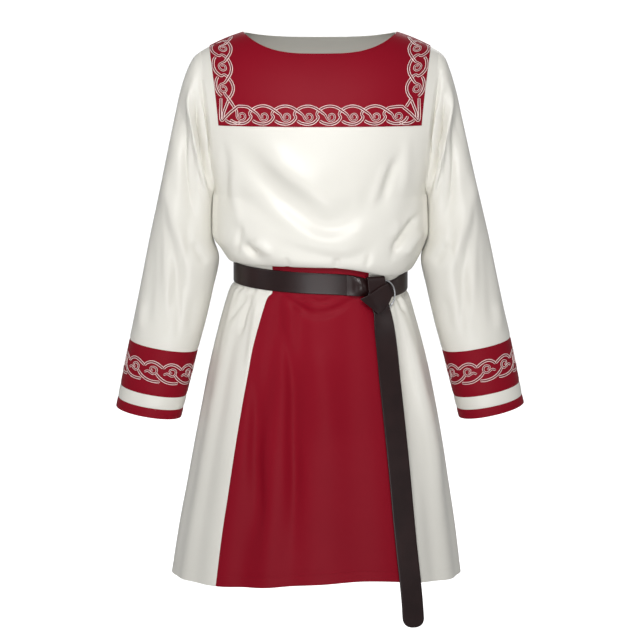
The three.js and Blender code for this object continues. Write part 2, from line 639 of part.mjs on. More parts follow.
// The ring lies flat before the strap's two ends
const ringSeat = waistFrame(radians(RING_ANGLE));
const ringOut = ringSeat.out;
const ringAlong = new THREE.Vector3(-ringOut.y, ringOut.x, 0);
ringSeat.middle.z -= RING_DROP;
function byRing(along, height, out) {
  return ringSeat.middle
    .clone()
    .addScaledVector(ringAlong, along)
    .addScaledVector(up, height)
    .addScaledVector(ringOut, out);
}
const ring = new THREE.TorusGeometry(RING_RADIUS, RING_WIRE, 10, 40);
const ringPlace = new THREE.Matrix4().makeBasis(ringAlong, up, ringOut);
ring.applyMatrix4(ringPlace.setPosition(byRing(0, 0, RING_OUT)));
add("belt_ring", ring, steel);

// Frames along a strap that is given by the lines across it
function frameLines(lines) {
  return lines.map(([start, end], i) => {
    const [before, after] = [lines[Math.max(0, i - 1)], lines[Math.min(lines.length - 1, i + 1)]];
    const middle = start.clone().add(end).multiplyScalar(0.5);
    const forward = after[0].clone().add(after[1]).sub(before[0]).sub(before[1]);
    const across = start.clone().sub(end);
    const half = across.length() / 2;
    across.normalize();
    return { middle, out: forward.cross(across).normalize(), up: across, half };
  });
}
const crossLine = (row) => [
  byRing(row.along0, row.up0, row.out0),
  byRing(row.along1, row.up1, row.out1),
];
add("belt_loop", strapSolid(frameLines(LOOP.map(crossLine))), leather);
add("belt_wrap", strapSolid(frameLines(WRAP.map((row) => crossLine(row).reverse())), 2), leather);

// How far forward the skirt reaches in the front view, without its flutes
function skirtFront(x, z) {
  const i = THREE.MathUtils.clamp(BODY.filter((row) => row.z >= z).length, HIP, HEM);
  const share = clamp01((BODY[i - 1].z - z) / (BODY[i - 1].z - BODY[i].z));
  const at = (key) => mix(BODY[i - 1][key], BODY[i][key], share);
  const across = Math.min(1, Math.abs(x - at("shift")) / at("half"));
  return -at("front") * (1 - across ** BODY_SQUARENESS) ** (1 / BODY_SQUARENESS);
}
const foldLines = TAIL_FOLD.map(({ along, up: height, out }) => [
  byRing(along + BELT_HALF_WIDTH, height, out),
  byRing(along - BELT_HALF_WIDTH, height, out),
]);
const hangLines = TAIL_HANG.map(({ x, z, turn, half }) => {
  const [aside, back] = [Math.cos(radians(turn)), Math.sin(radians(turn))];
  const reach = [-19, -9, 0, 9, 19].map((s) => skirtFront(x + s * aside, z) - s * back);
  const y = Math.min(...reach) - LEATHER / 2 - TAIL_CLEARANCE;
  return [1, -1].map((end) => new THREE.Vector3(x + end * half * aside, y + end * half * back, z));
});
add("belt_tail", strapSolid(frameLines([...foldLines, ...hangLines]), 2), leather);

export default tunic;
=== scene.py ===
"""Looks of a long-sleeved belted tunic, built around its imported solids.

Shapes are worked out in millimetres, in the part's frame: +Z up, +X towards the wearer's left, and
the front faces -Y. The tables and formulas of the cloth are the ones that its solids were made from,
but for two creases of the sleeves, which are softer here.
"""
import math

import bpy
import numpy as np
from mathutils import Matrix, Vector


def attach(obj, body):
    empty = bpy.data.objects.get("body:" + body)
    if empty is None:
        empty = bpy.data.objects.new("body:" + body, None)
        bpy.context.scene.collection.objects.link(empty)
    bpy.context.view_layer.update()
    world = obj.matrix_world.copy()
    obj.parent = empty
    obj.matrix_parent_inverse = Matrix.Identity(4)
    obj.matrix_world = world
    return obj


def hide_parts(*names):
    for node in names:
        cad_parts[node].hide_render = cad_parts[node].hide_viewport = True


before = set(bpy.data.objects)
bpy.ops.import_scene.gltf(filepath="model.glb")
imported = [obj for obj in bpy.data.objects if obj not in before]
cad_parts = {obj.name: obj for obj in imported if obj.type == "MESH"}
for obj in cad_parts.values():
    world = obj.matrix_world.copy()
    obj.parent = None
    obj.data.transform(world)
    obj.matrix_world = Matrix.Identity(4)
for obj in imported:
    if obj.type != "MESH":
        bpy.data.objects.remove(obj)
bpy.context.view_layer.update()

MM = 0.001

# Shoulders, neckline and armholes
SHOULDER_X, SHOULDER_Z = 205, -16
NECK_X, NECK_Z, NECK_POWER = 131, 17, 3.3
FRONT_NECK_DROP, BACK_NECK_DROP = 34, 10
RIDGE_POWER, SHOULDER_ROUNDING, SHOULDER_SPREAD = 2.6, 2.2, 70
YOKE_TOP_X, UNDERARM_Z = 189, -260
BODY_SQUARENESS, SLEEVE_SQUARENESS, CAP_SQUARENESS = 2.3, 2.15, 2.9

# Columns of the cloth that seams follow, counted from the centre of the front or back
SIDE_COLUMN, PANEL_COLUMN, NECK_COLUMN, YOKE_COLUMN = 16, 7, 9, 13
ARMHOLE_ROWS = 10

# Ring belt
BELT_HALF_WIDTH, BELT_HALF_AT_RING, LEATHER = 18, 14, 2.5
BELT_Z, BELT_DIP, BELT_DIP_ANGLE, BELT_DIP_SPREAD = -400, 10, 46, 22
BELT_TILT_LEFT, BELT_TILT_FRONT = -6.8, -4.3
WIDENING_FROM_START, WIDENING_FROM_END = 33.3, 24.2
RING_RADIUS, RING_WIRE, RING_DROP, RING_ANGLE, RING_OUT = 26.4, 1.35, 9.5, 40.5, 5.2
STRAP_START, STRAP_END = 44, 397.25
LAYER_GAP, TAIL_CLEARANCE = 0.3, 1.5

# The thin cloth of the looks
CLOTH = 1.1
HEM_FOLD, HEM_DEPTH = 0.9, 18
SIDE_PLEAT, PLEAT_Y, PLEAT_TOP, PLEAT_BOTTOM, PLEAT_COLUMN = 6, 25, -246, -352, 11

def table(columns, *rows):
    """A table of rows under named columns, as one array or list for each column."""
    return {
        name: list(values) if isinstance(values[0], str) else np.array(values, float)
        for name, values in zip(columns.split(), zip(*rows))
    }


BODY = table(
    "name z follow lift half front back shift panel yoke",
    ("underarm", UNDERARM_Z, 0, 0, 181, 120, 112, 0, 28, 65),
    ("chest", -300, 0.1, 0, 182, 125, 117, 0, 28, 66),
    ("blouse", -338, 0.5, 0.2, 181, 131, 121, 0, 29, 68),
    ("blouse_fall", -362, 0.9, 0.7, 171, 130, 120, 0.5, 30, 70),
    ("blouse_edge", -380.3, 1, 1, 158, 120, 112, 1, 30.3, 71),
    ("blouse_tuck", -374.5, 1, 1, 151.6, 112.3, 105.3, 1, 30.3, 71),
    ("belt_top", -380.5, 1, 0, 148.5, 108.5, 101.5, 1, 30.5, 71),
    ("belt_bottom", -419.5, 1, 0, 148.5, 108.5, 101.5, 1, 30.5, 71),
    ("gathers", -430, 0.9, 0, 155, 109.2, 103, -1, 31.7, 71),
    ("hip", -482, 0.5, 0, 171, 115, 110, -2, 34.2, 72),
    ("thigh", -552, 0.2, 0, 189, 126, 120, -2, 36.3, 73),
    ("flare_1", -623, 0, 0, 203.5, 136, 130, -2, 37.8, 73.5),
    ("flare_2", -694, 0, 0, 217, 145, 139, -2.5, 38.7, 74),
    ("flare_3", -766, 0, 0, 229.5, 151, 145, -3.5, 39.3, 74),
    ("flare_4", -837, 0, 0, 242, 157, 151, -4.8, 39.7, 74),
    ("hem", -926, 0, 0, 255, 163, 157, -6.3, 40, 74),
)
TUCK, BELT_TOP, HIP = (BODY["name"].index(name) for name in ("blouse_tuck", "belt_top", "hip"))
HEM = len(BODY["name"]) - 1
HEM_RISE, HEM_RISE_ANGLE, HEM_RISE_SPREAD = 14, 17, 27
BLOUSE_LIFT, BACK_LIFT_SHARE = 8, 0.6

# Flutes of the skirt, by angle in degrees from the front centre
SKIRT_FOLDS = table(
    "waist hem spread depth",
    (-76, -74, 9, -5), (-52, -55, 8, -6), (-19, -27, 7, -9), (-8, -8, 6.5, -8), (14, 13, 9, -5),
    (56, 53, 8, -9), (78, 76, 8, -5), (104, 102, 9, -7), (131, 128, 9, -9), (153, 150, 8, -8),
    (176, 178, 9, -8), (199, 203, 8, -9), (224, 228, 9, -8), (250, 255, 9, -6),
)

# Broad creases of the bodice, as lines in the front view, for its front, 1, and its back, -1
BROAD_COLUMNS = "x0 z0 x1 z1 width depth"
BROAD_CREASES = {
    1: table(
        BROAD_COLUMNS,
        (-150, -165, -20, -262, 24, -7), (-168, -240, -45, -316, 20, -6), (-60, -205, 40, -225, 30, 3),
        (140, -180, 82, -290, 22, -6), (165, -255, 118, -350, 15, -7), (-140, -318, -100, -372, 13, -7),
        (-20, -318, 70, -322, 20, -4),
    ),
    -1: table(
        BROAD_COLUMNS,
        (-150, -150, -30, -270, 26, -6), (150, -160, 35, -285, 26, -7), (-165, -250, -95, -345, 18, -6),
        (165, -245, 100, -350, 18, -6), (-40, -322, 50, -326, 20, -4),
    ),
}

# Softer folds of the cloth, each along a path in the front view: how far it stands out, or in where
# it is less than 0, how wide it is, and the path's points
FOLDS = {
    1: [
        (9.5, 22, (-102, -165), (-59, -212), (-20, -240), (10, -262), (56, -262)),
        (-6, 21, (-142, -172), (-115, -206), (-81, -244), (-39, -283), (4, -304), (46, -292), (74, -262)),
        (3.8, 17, (-127, -243), (-93, -268), (-51, -298), (8, -324), (51, -320), (86, -296), (103, -262)),
        (-4.4, 14, (-108, -312), (-60, -338), (-8, -355), (46, -362), (88, -342), (114, -310)),
        (-4.8, 8, (133, -186), (118, -222), (106, -268)),
        (3.6, 9, (120, -195), (106, -220), (94, -250), (84, -280)),
        (2.8, 9, (146, -150), (147, -200), (142, -262)),
        (3.6, 9, (-150, -215), (-144, -265), (-134, -318)),
        (-4.4, 9, (-166, -157), (-161, -215), (-166, -286)),
        (-5.2, 5, (-133, -303), (-140, -337), (-144, -364)),
        (-9, 6.5, (-131, -336), (-118, -349), (-104, -360)),
        (4.4, 8, (-118, -330), (-98, -342), (-80, -356)),
        (-10.4, 6, (172, -289), (151, -312), (133, -335), (122, -360)),
        (7.2, 9, (176, -318), (157, -338), (141, -364)), (3.6, 9, (137, -298), (122, -330)),
        (-2.8, 5, (86, -352), (78, -376)), (-2.4, 5, (30, -358), (26, -380)),
        (-2.4, 5, (-58, -356), (-54, -378)),
        (-6.4, 12, (-114, -531), (-110, -617), (-110, -702), (-106, -787), (-114, -873)),
        (-6.8, 11, (-74, -446), (-59, -500), (-47, -574), (-46, -660), (-44, -745), (-47, -850)),
        (6, 26, (-10, -500), (4, -570), (14, -690)),
        (-4.8, 6, (-62, -424), (-42, -441), (-8, -456), (34, -446), (56, -431)),
        (-2.4, 4.5, (-20, -428), (2, -436), (26, -428)),
        (7.6, 11, (128, -434), (152, -509), (177, -600), (196, -685), (213, -805)),
        (-6.8, 9, (133, -475), (149, -582), (159, -685), (169, -839)),
        (-5.2, 4.5, (132, -430), (146, -462)), (-4.4, 4.5, (140, -426), (158, -448)),
        (-5.2, 4.5, (-121, -424), (-140, -448), (-158, -475)),
        (-5.2, 4.5, (-116, -424), (-130, -462), (-138, -500)),
        (4.8, 6, (-104, -424), (-112, -480), (-126, -560)),
    ],
    -1: [
        (4, 18, (98, -160), (52, -214), (14, -240), (-40, -250)),
        (-5.2, 13, (140, -168), (106, -216), (62, -258), (8, -286), (-50, -280), (-92, -244)),
        (5.2, 12, (126, -238), (84, -276), (26, -306), (-40, -306), (-96, -270)),
        (-4.4, 12, (104, -308), (50, -338), (-20, -346), (-84, -330), (-116, -296)),
        (-4.8, 8, (-136, -176), (-124, -220), (-110, -262)),
        (3.2, 9, (-148, -150), (-150, -215), (-138, -300)),
        (-8.8, 6, (-168, -290), (-146, -318), (-130, -352)),
        (-8, 6, (160, -300), (140, -330), (128, -358)), (-2.8, 5, (-60, -350), (-54, -376)),
        (-2.8, 5, (20, -352), (16, -378)), (-3.2, 5, (74, -346), (66, -374)),
        (-6.8, 12, (60, -450), (66, -560), (78, -700), (84, -860)),
        (-6.8, 12, (-34, -446), (-40, -540), (-52, -690), (-56, -850)),
        (6, 22, (10, -480), (14, -640), (16, -800)),
        (-5.6, 10, (-112, -440), (-130, -560), (-148, -720)),
        (6, 11, (112, -436), (138, -540), (160, -680)),
    ],
}

# Folds of a sleeve, in the same way
SLEEVE_FOLDS = {
    1: [
        (7, 4.2, (216, -60), (224, -95), (220, -135), (212, -178), (200, -230), (191, -262)),
        (-13, 4.6, (211, -86), (209, -135), (201, -178), (192, -217), (186, -262)),
        (7, 3.6, (201, -96), (197, -145), (190, -190)), (-6.5, 4, (197, -50), (196, -90), (191, -150)),
        (-13, 12, (239, -90), (236, -150), (230, -204), (221, -262), (206, -322)),
        (7.5, 12, (262, -205), (260, -250), (249, -300), (233, -356), (222, -422)),
        (3.3, 8, (268, -257), (265, -343), (262, -430), (260, -500)),
        (-3.3, 7, (252, -320), (247, -390), (243, -460), (246, -515)),
        (-5.4, 9, (222, -336), (207, -358), (192, -380)),
        (-3, 10, (286, -330), (292, -410), (298, -500)), (2.7, 7, (306, -440), (312, -500)),
        (-2.4, 8, (214, -430), (226, -500)),
    ],
    -1: [
        (4.2, 6, (216, -60), (222, -110), (214, -170), (200, -232), (190, -264)),
        (-7.2, 6, (206, -96), (202, -150), (193, -205), (186, -260)),
        (-6, 13, (238, -120), (230, -190), (220, -260), (206, -316)),
        (5.4, 12, (258, -200), (254, -270), (240, -330), (226, -410)),
        (-4.8, 9, (228, -330), (208, -356), (190, -376)), (3, 9, (272, -280), (270, -380), (268, -480)),
        (-3, 9, (290, -340), (294, -430), (300, -500)),
    ],
}

# Gathers at the belt, by angle in degrees: how far they reach above and below it, and their size
GATHERS = table(
    "angle spread above below depth",
    (-84, 2.6, 24, 70, -2.2), (-74, 2.2, 16, 46, -1.6), (-63, 2.6, 22, 96, -2.6), (-56, 2, 12, 64, -2),
    (-47, 2.4, 18, 80, -2.2), (-38, 2, 10, 44, -1.4), (-23, 1.9, 8, 60, -1.2), (-11, 2, 6, 40, -0.9),
    (4, 2.2, 8, 52, -1), (19, 2, 8, 44, -1.2), (30, 2, 14, 56, -1.6), (47, 2.4, 20, 110, -2.6),
    (55, 2, 14, 60, -1.8), (64, 2.6, 24, 84, -2.4), (73, 2.2, 18, 52, -1.8), (83, 2.6, 22, 76, -2.2),
    (95, 2.4, 20, 60, -2), (106, 2.6, 24, 90, -2.4), (117, 2.2, 14, 56, -1.8),
    (126, 2.6, 22, 100, -2.6), (138, 2.2, 16, 60, -1.8), (147, 2.6, 22, 84, -2.4),
    (158, 2.2, 14, 56, -1.8), (168, 2.6, 22, 92, -2.4), (181, 2.4, 16, 60, -2),
    (191, 2.6, 24, 96, -2.4), (203, 2.2, 14, 58, -1.8), (213, 2.6, 22, 88, -2.4),
    (222, 2.2, 16, 60, -2), (235, 2.6, 24, 96, -2.6), (246, 2.2, 16, 56, -1.8),
    (258, 2.6, 22, 80, -2.2), (267, 2.2, 16, 52, -1.8),
)

# Rings of a sleeve, from the outer to the inner point in the front view. The wearer's left sleeve is
# carried closer by near, and its outer point higher by rise.
SLEEVE = table(
    "name out_x out_z in_x in_z depth forward droop near rise",
    ("armhole", 205, -16, 181, -260, 50, 0, 0, 0, 0),
    ("cap_1", 217, -26, 183.4, -264, 56, 0, 0, 2.5, 0),
    ("cap_2", 229, -49, 184.6, -268, 59, 0, 0, 5, 0),
    ("cap_3", 240, -82, 185, -273, 61, 0, 0, 6, 0),
    ("cap_4", 250, -126, 185.2, -279, 62, 0, 0, 6, 0),
    ("upper_1", 261, -177, 185.4, -288, 63, 1, 0, 5.5, 0),
    ("upper_2", 272, -230, 185.4, -304, 63.5, 1, 0, 4.5, 0),
    ("upper_3", 284, -286, 184.5, -336, 63, 2, 0, 3, 0),
    ("elbow", 297, -346, 174.5, -373, 62, 3, 0, 2, 0),
    ("lower_1", 309, -406, 185.5, -427, 61, 4, 1, 1.5, 1),
    ("lower_2", 320, -460, 198, -481, 60, 5, 2, 1, 2),
    ("band_top", 331, -512, 212, -532, 58.5, 6, 3, 0, 3),
    ("band_low", 347.5, -591, 232, -611, 55.5, 7, 4, 0, 4),
    ("stripe_low", 352, -613, 237.5, -632.7, 54.7, 7.5, 4, 0, 4),
    ("edge", 355.5, -629.5, 241.5, -649, 54, 8, 4, 0, 6),
)
BAND_TOP, BAND_LOW, STRIPE_LOW, EDGE = (
    SLEEVE["name"].index(name) for name in ("band_top", "band_low", "stripe_low", "edge")
)

# Broad creases of a sleeve: the share of the way from the outer to the inner line, and the ring, at
# each end. side is 1 on the front and -1 on the back.
SLEEVE_CREASES = table(
    "side share0 ring0 share1 ring1 width depth",
    (1, 0.3, 2, 0.74, 6, 0.1, -3), (1, 0.46, 2, 0.86, 5.6, 0.09, -3),
    (1, 0.62, 6, 0.44, 10.6, 0.09, -5), (1, 0.2, 5, 0.24, 9.5, 0.08, -3),
    (-1, 0.3, 2, 0.72, 6, 0.07, -6), (-1, 0.6, 5.5, 0.4, 10, 0.09, -5),
)

# Lines across the belt's pieces in the ring's own frame, from its centre
TAIL_FOLD = table(
    "along up out",
    (-14, 28.4, 1.6), (-14, 30.4, 2.1), (-14, 32, 5), (-14, 30.2, 8), (-13.6, 26.5, 8.5),
    (-12.5, 16, 8.5), (-10.5, 4, 8.5), (-8, -8, 8.5), (-5, -20, 8.7), (-1.5, -32, 9.6),
)
LOOP = table(
    "along0 up0 along1 up1 out belly leather",
    (-61, 37, -61, 2.2, -11.1, 0, 0.3), (-54, 35.4, -54, 1.2, -7.2, 0.8, 1.9),
    (-47, 33.4, -46, 0.4, -2.6, 2.6, 2.5), (-40, 31, -37, 0.6, 1.4, 4.6, 2.5),
    (-35.5, 28.5, -30.5, 2, 2.2, 3.6, 2.5),
)
WRAP = table(
    "along0 up0 out0 along1 up1 out1",
    (17, -2, 11.4, 7, 20.5, 11.4), (9, -15, 11.6, -4, 17.5, 11.4), (1.5, -24, 12.4, -16, 11.5, 11.4),
    (-6, -29, 13.2, -30, 4, 10.6), (-12.5, -30.5, 13.4, -45.5, -3.5, 5.5),
)

# Lines across the hanging end, by their middle in the front view, turn in degrees and half width
TAIL_HANG = table(
    "x z turn half",
    (110, -482, 24, 19), (115, -525, 17, 19), (119.5, -572, 14, 19), (125, -623, 13, 19),
    (131, -680, 12, 19), (137, -740, 12, 19), (142.5, -800, 12, 19), (148.5, -860, 12, 19),
    (155, -918, 12, 19), (158.5, -955, 12, 19), (160.2, -980, 12, 19), (160.6, -986, 12, 17.6),
    (160.9, -991, 12, 14.4), (161.1, -994, 12, 10), (161.2, -995.5, 12, 5),
)

# The interlace border, charted in millimetres from the centre of a curl: along the border, up from
# it, how far the strand is lifted over others and its share of the full width. The last two are 0
# and 1 where a row leaves them out.
CURL_PITCH, CURL_HEIGHT = 37.7, 17
UNDER_CURL = [(-19.6, -6.5), (-14, -10), (-6, -12.2), (1, -12.4), (8.5, -9.8), (14.2, -4.4)]
OVER_NEXT = [
    (15.8, 0, 0, 0.95), (13.4, 3.4, 0, 0.85), (14, 7, 0, 0.9), (17.6, 11), (23, 14.8), (30, 17.4),
]
INTO_CURL = [
    (37.7, 18.1, 0.3, 1), (46.4, 16, 0.6, 1), (53.4, 12, 0.6, 1), (60, 7.4, 0.3, 1),
    (65, 3.4, 0.1, 0.85), (67.4, -1, 0, 0.75), (70.4, -5.4, 0, 0.72), (75.4, -6.9, 0, 0.7),
    (80.2, -4.4, 0.2, 0.7), (81.4, 0.6, 0.4, 0.7), (78, 4.6, 0.5, 0.7), (72.8, 3.6, 0.4, 0.7),
    (71.8, -0.4, 0.2, 0.65), (75.2, -2, 0, 0.6),
]

# Its strands at a bottom corner, from that corner of the yoke, inwards and up
EDGE_STRAND = [
    (4.6, 47), (4.4, 34), (4, 22), (4.2, 13.5), (5, 9.6, 0, 0.9), (6.6, 8.4, 0, 0.9),
    (8.8, 10.4, 0, 0.9), (16.7, 18.9, 0.3, 1), (23, 24.6, 0.6, 1), (29.7, 30, 0.6, 1),
    (35, 33.4, 0.4, 1),
]
INNER_STRAND = [(18.2, 45), (12.6, 31), (9, 21), (8.4, 13, 0, 0.9)]
DIAGONAL_STRAND = [
    (9.4, 57, 0, 0.8), (13, 51.5, 0.4, 0.9), (18.4, 45, 0.6, 1), (26.8, 32.4), (31.4, 25, 0, 0.9),
]
FOOT_STRAND = [(12, 9.6, 0, 0.9), (20, 5.4), (30, 4), (38, 7.4)]
SIDE_CURLS = (63.5, 101.2, 138.9, 176.6)
FIRST_CURL_IN, SIDE_CURL_IN = 39.9, 15.2

# The cuffs' border, from the centre of a knot
KNOT_PITCHES, KNOT_PITCH, KNOT_HEIGHT = 11, 33.3, 45
KNOT_STRANDS = (
    [
        (-15.5, 4.4, 0, 0.9), (-13, 8.6), (-8.6, 12), (-2.6, 13.6), (4.4, 12.4), (11, 9.2),
        (17.6, 5.2, 0, 0.95),
    ],
    [
        (6.6, -4.4, 0, 0.8), (12, -10), (19, -14.6, 0.5, 1), (26.7, -18, 0.3, 1), (34, -19.6),
        (42, -19.9), (50.2, -19, 0, 0.95),
    ],
    [
        (-13.6, -6.4, 0, 0.8), (-8, -3.2, 0, 0.8), (-3, -5.2, 0, 0.75), (2.4, -7, 0.3, 0.75),
        (7, -3.6, 0.4, 0.75), (6.6, 2.4, 0.4, 0.75), (1.6, 5.4, 0.3, 0.75), (-3.8, 3, 0, 0.7),
        (-2.4, -1.4, 0, 0.65), (1.4, -1, 0, 0.6),
    ],
)

# The section of a strand, from one foot over it to the other and back under the cloth
EMBROIDERED = table(
    "across height",
    (-2.35, 0), (-2.2, 0.4), (-1.85, 0.6), (-1.5, 0.45), (-1.25, 0.2), (0, 0.15), (1.25, 0.2),
    (1.5, 0.45), (1.85, 0.6), (2.2, 0.4), (2.35, 0), (2.35, -0.25), (-2.35, -0.25),
)


def mix(a, b, share):
    """The value a share of the way from a to b."""
    return a + (b - a) * share


def clamp01(value):
    """The value held between 0 and 1."""
    return np.clip(value, 0, 1)


def bell(value):
    """A smooth hump of height 1 about zero: e to the minus value squared."""
    return np.exp(-np.square(value))


def ease(value):
    """A smooth step from 0 to 1 as value goes from 0 to 1: 3v^2 - 2v^3."""
    v = clamp01(value)
    return v * v * (3 - 2 * v)


def unit(vectors):
    """Vectors scaled to length 1."""
    length = np.linalg.norm(vectors, axis=-1, keepdims=True)
    return vectors / np.maximum(length, 1e-9)


def track(values, at, flat_start=False):
    """A smooth curve through values at 0, 1, 2 and so on. Each step is a cubic, and the slope at a
    value is the harmonic mean of the steps beside it, or 0 at a turn, so it never overshoots."""
    steps = np.diff(values)
    before, after = steps[:-1], steps[1:]
    same = before * after > 0
    mean = 2 * before * after / np.where(same, before + after, 1)
    slopes = np.concatenate([[0 if flat_start else steps[0]], np.where(same, mean, 0), [steps[-1]]])
    i = np.clip(np.floor(at).astype(int), 0, len(values) - 2)
    t = at - i
    bend = slopes[i] * (1 - t) - slopes[i + 1] * t
    return values[i] + steps[i] * t * t * (3 - 2 * t) + bend * t * (1 - t)


def body_track(key, row):
    """One column of the body's rings at a row between them."""
    return track(BODY[key], row, flat_start=key != "z")


def turn_from(angle, degrees):
    """The turn in degrees from a direction in degrees to an angle in radians, between -180 and 180."""
    turn = angle - np.radians(degrees)
    return np.degrees(np.arctan2(np.sin(turn), np.cos(turn)))


def belt_tilt(angle):
    """How far the belt's middle lies above its mean level: a tilt, less a dip beside the ring."""
    dip = BELT_DIP * bell(turn_from(angle, BELT_DIP_ANGLE) / BELT_DIP_SPREAD)
    return BELT_TILT_LEFT * np.sin(angle) + BELT_TILT_FRONT * np.cos(angle) - dip


def column_angle(column, row):
    """A column's angle from the centre: linear to the panel's seam, to the yoke's side, and to 90."""
    c = np.abs(column)
    panel, yoke = body_track("panel", row), body_track("yoke", row)
    middle = mix(panel, yoke, (c - PANEL_COLUMN) / (YOKE_COLUMN - PANEL_COLUMN))
    outer = mix(yoke, 90, (c - YOKE_COLUMN) / (SIDE_COLUMN - YOKE_COLUMN))
    beyond = np.where(c <= YOKE_COLUMN, middle, outer)
    return np.sign(column) * np.radians(np.where(c <= PANEL_COLUMN, panel * c / PANEL_COLUMN, beyond))


def broad_crease(side, x, z):
    """The sum of the broad creases: a bell across each line, fading to and past its ends."""
    total = 0
    for x0, z0, x1, z1, width, depth in zip(*BROAD_CREASES[side].values()):
        dx, dz = x1 - x0, z1 - z0
        length = math.hypot(dx, dz)
        along = ((x - x0) * dx + (z - z0) * dz) / length**2
        across = ((x - x0) * dz - (z - z0) * dx) / length
        past = np.maximum(0, np.maximum(along - 1, -along)) * length
        taper = 0.35 + 0.65 * np.sin(np.pi * clamp01(along))
        total = total + depth * taper * bell(across / width) * bell(past / width)
    return total


def soft_folds(folds, x, z):
    """The sum of soft folds: each is a bell across its smooth path, and fades towards both ends."""
    total = 0
    for height, width, *points in folds:
        path = flowing(points, 6.0)[0]
        share = np.linspace(0, 1, len(path))
        nearest, along = np.full(x.shape, np.inf), np.zeros(x.shape)
        for a, b, s, e in zip(path[:-1], path[1:], share[:-1], share[1:]):
            step = b - a
            t = clamp01(((x - a[0]) * step[0] + (z - a[1]) * step[1]) / (step @ step))
            away = np.hypot(x - a[0] - t * step[0], z - a[1] - t * step[1])
            closer = away < nearest
            nearest, along = np.where(closer, away, nearest), np.where(closer, mix(s, e, t), along)
        taper = ease(np.minimum(along, 1 - along) / 0.3) * 0.85 + 0.15
        total = total + height * taper * bell(nearest / width)
    return total


def skirt_fold(angle, row):
    """How far the flutes stand out: bells about directions that spread from the waist to the hem."""
    down = clamp01((row - BELT_TOP - 1) / (HEM - BELT_TOP - 1))
    grown = np.minimum(1, 0.22 * clamp01(4 * down) + down**0.8) * clamp01(8 * down)
    total = 0
    for waist, hem, spread, depth in zip(*SKIRT_FOLDS.values()):
        off = turn_from(angle, mix(waist, hem, np.minimum(1, 1.6 * down)))
        total = total + depth * grown * bell(off / (spread * mix(0.6, 1, down)))
    return total


def gather(angle, z):
    """Small pleats at the belt: bells of angle that fade above and below it."""
    over = z - BELT_Z - belt_tilt(angle)
    total = 0
    for at, spread, above, below, depth in zip(*GATHERS.values()):
        reach = np.where(over > 0, over / above, -over / below)
        widen = 1 + 0.9 * clamp01(reach)
        off = turn_from(angle, at) / (spread * widen)
        total = total + depth * (bell(off) - 0.45 * bell(off / 2.4)) * bell(reach)
    return total


def ridge_height(x):
    """The shoulder line's height at x, carried on over the neck."""
    fall = (1 - (np.abs(x) / SHOULDER_X) ** RIDGE_POWER) / (1 - (NECK_X / SHOULDER_X) ** RIDGE_POWER)
    return SHOULDER_Z + (NECK_Z - SHOULDER_Z) * fall


def top_edge(side, column):
    """x and z of the neckline, a flat-bottomed curve, and of the shoulder line beyond it."""
    c = np.abs(column)
    drop = FRONT_NECK_DROP if side > 0 else BACK_NECK_DROP
    share = np.minimum(1, c / NECK_COLUMN)
    to_yoke = mix(NECK_X, YOKE_TOP_X, (c - NECK_COLUMN) / (YOKE_COLUMN - NECK_COLUMN))
    to_side = mix(YOKE_TOP_X, SHOULDER_X, (c - YOKE_COLUMN) / (SIDE_COLUMN - YOKE_COLUMN))
    beyond = np.where(c <= YOKE_COLUMN, to_yoke, to_side)
    x = np.where(share < 1, NECK_X * share, beyond)
    ridge = ridge_height(np.minimum(x, SHOULDER_X))
    return x, np.where(share < 1, NECK_Z - drop * (1 - share**NECK_POWER), ridge)


def superellipse(angle, half, depth):
    """x and y at an angle from the front, on a ring of a half width and depth, and its outward
    direction: x = half sin^(2/n), y = -depth cos^(2/n), with n the body's squareness."""
    power = 2 / BODY_SQUARENESS
    x = half * np.sign(np.sin(angle)) * np.abs(np.sin(angle)) ** power
    y = -depth * np.sign(np.cos(angle)) * np.abs(np.cos(angle)) ** power
    return x, y, unit(np.stack([x / half**2, y / depth**2, 0 * x], -1))


def chest_depth(side, x, z):
    """The chest's depth in the front view: a rounded fall from the shoulder line times a rounded
    fall towards the sides."""
    ridge = ridge_height(x)
    drop = clamp01((ridge - z) / (ridge - UNDERARM_Z))
    fall = (1 - (1 - drop) ** SHOULDER_ROUNDING) ** (1 / SHOULDER_ROUNDING)
    down = (SHOULDER_Z - z) / (SHOULDER_Z - UNDERARM_Z)
    half = BODY["half"][0] + SHOULDER_SPREAD * (1 - down)
    out = clamp01(1 - np.minimum(1, np.abs(x) / half) ** BODY_SQUARENESS) ** (1 / BODY_SQUARENESS)
    return (BODY["front"] if side > 0 else BODY["back"])[0] * fall * out


def chest_point(side, column, row, inside):
    """Front or back above the underarm: rows -1 to 0 run from the top edge down, x widens from the
    shoulder line to the chest's half ring, and y is the chest's depth with its broad creases."""
    down = row + 1
    top_x, top_z = top_edge(side, column)
    ring = BODY["half"][0] * np.abs(np.sin(column_angle(column, 0 * row))) ** (2 / BODY_SQUARENESS)
    x = mix(ring, top_x, (1 - down) ** 2)
    z = mix(SHOULDER_Z, UNDERARM_Z, down) + (top_z - SHOULDER_Z) * np.maximum(0, 1 - 2 * down)
    creased = inside * broad_crease(side, np.sign(column) * x, z)
    depth = chest_depth(side, x, z) + creased * clamp01(3 * down)
    return np.stack([np.sign(column) * x, -side * depth, z], -1)


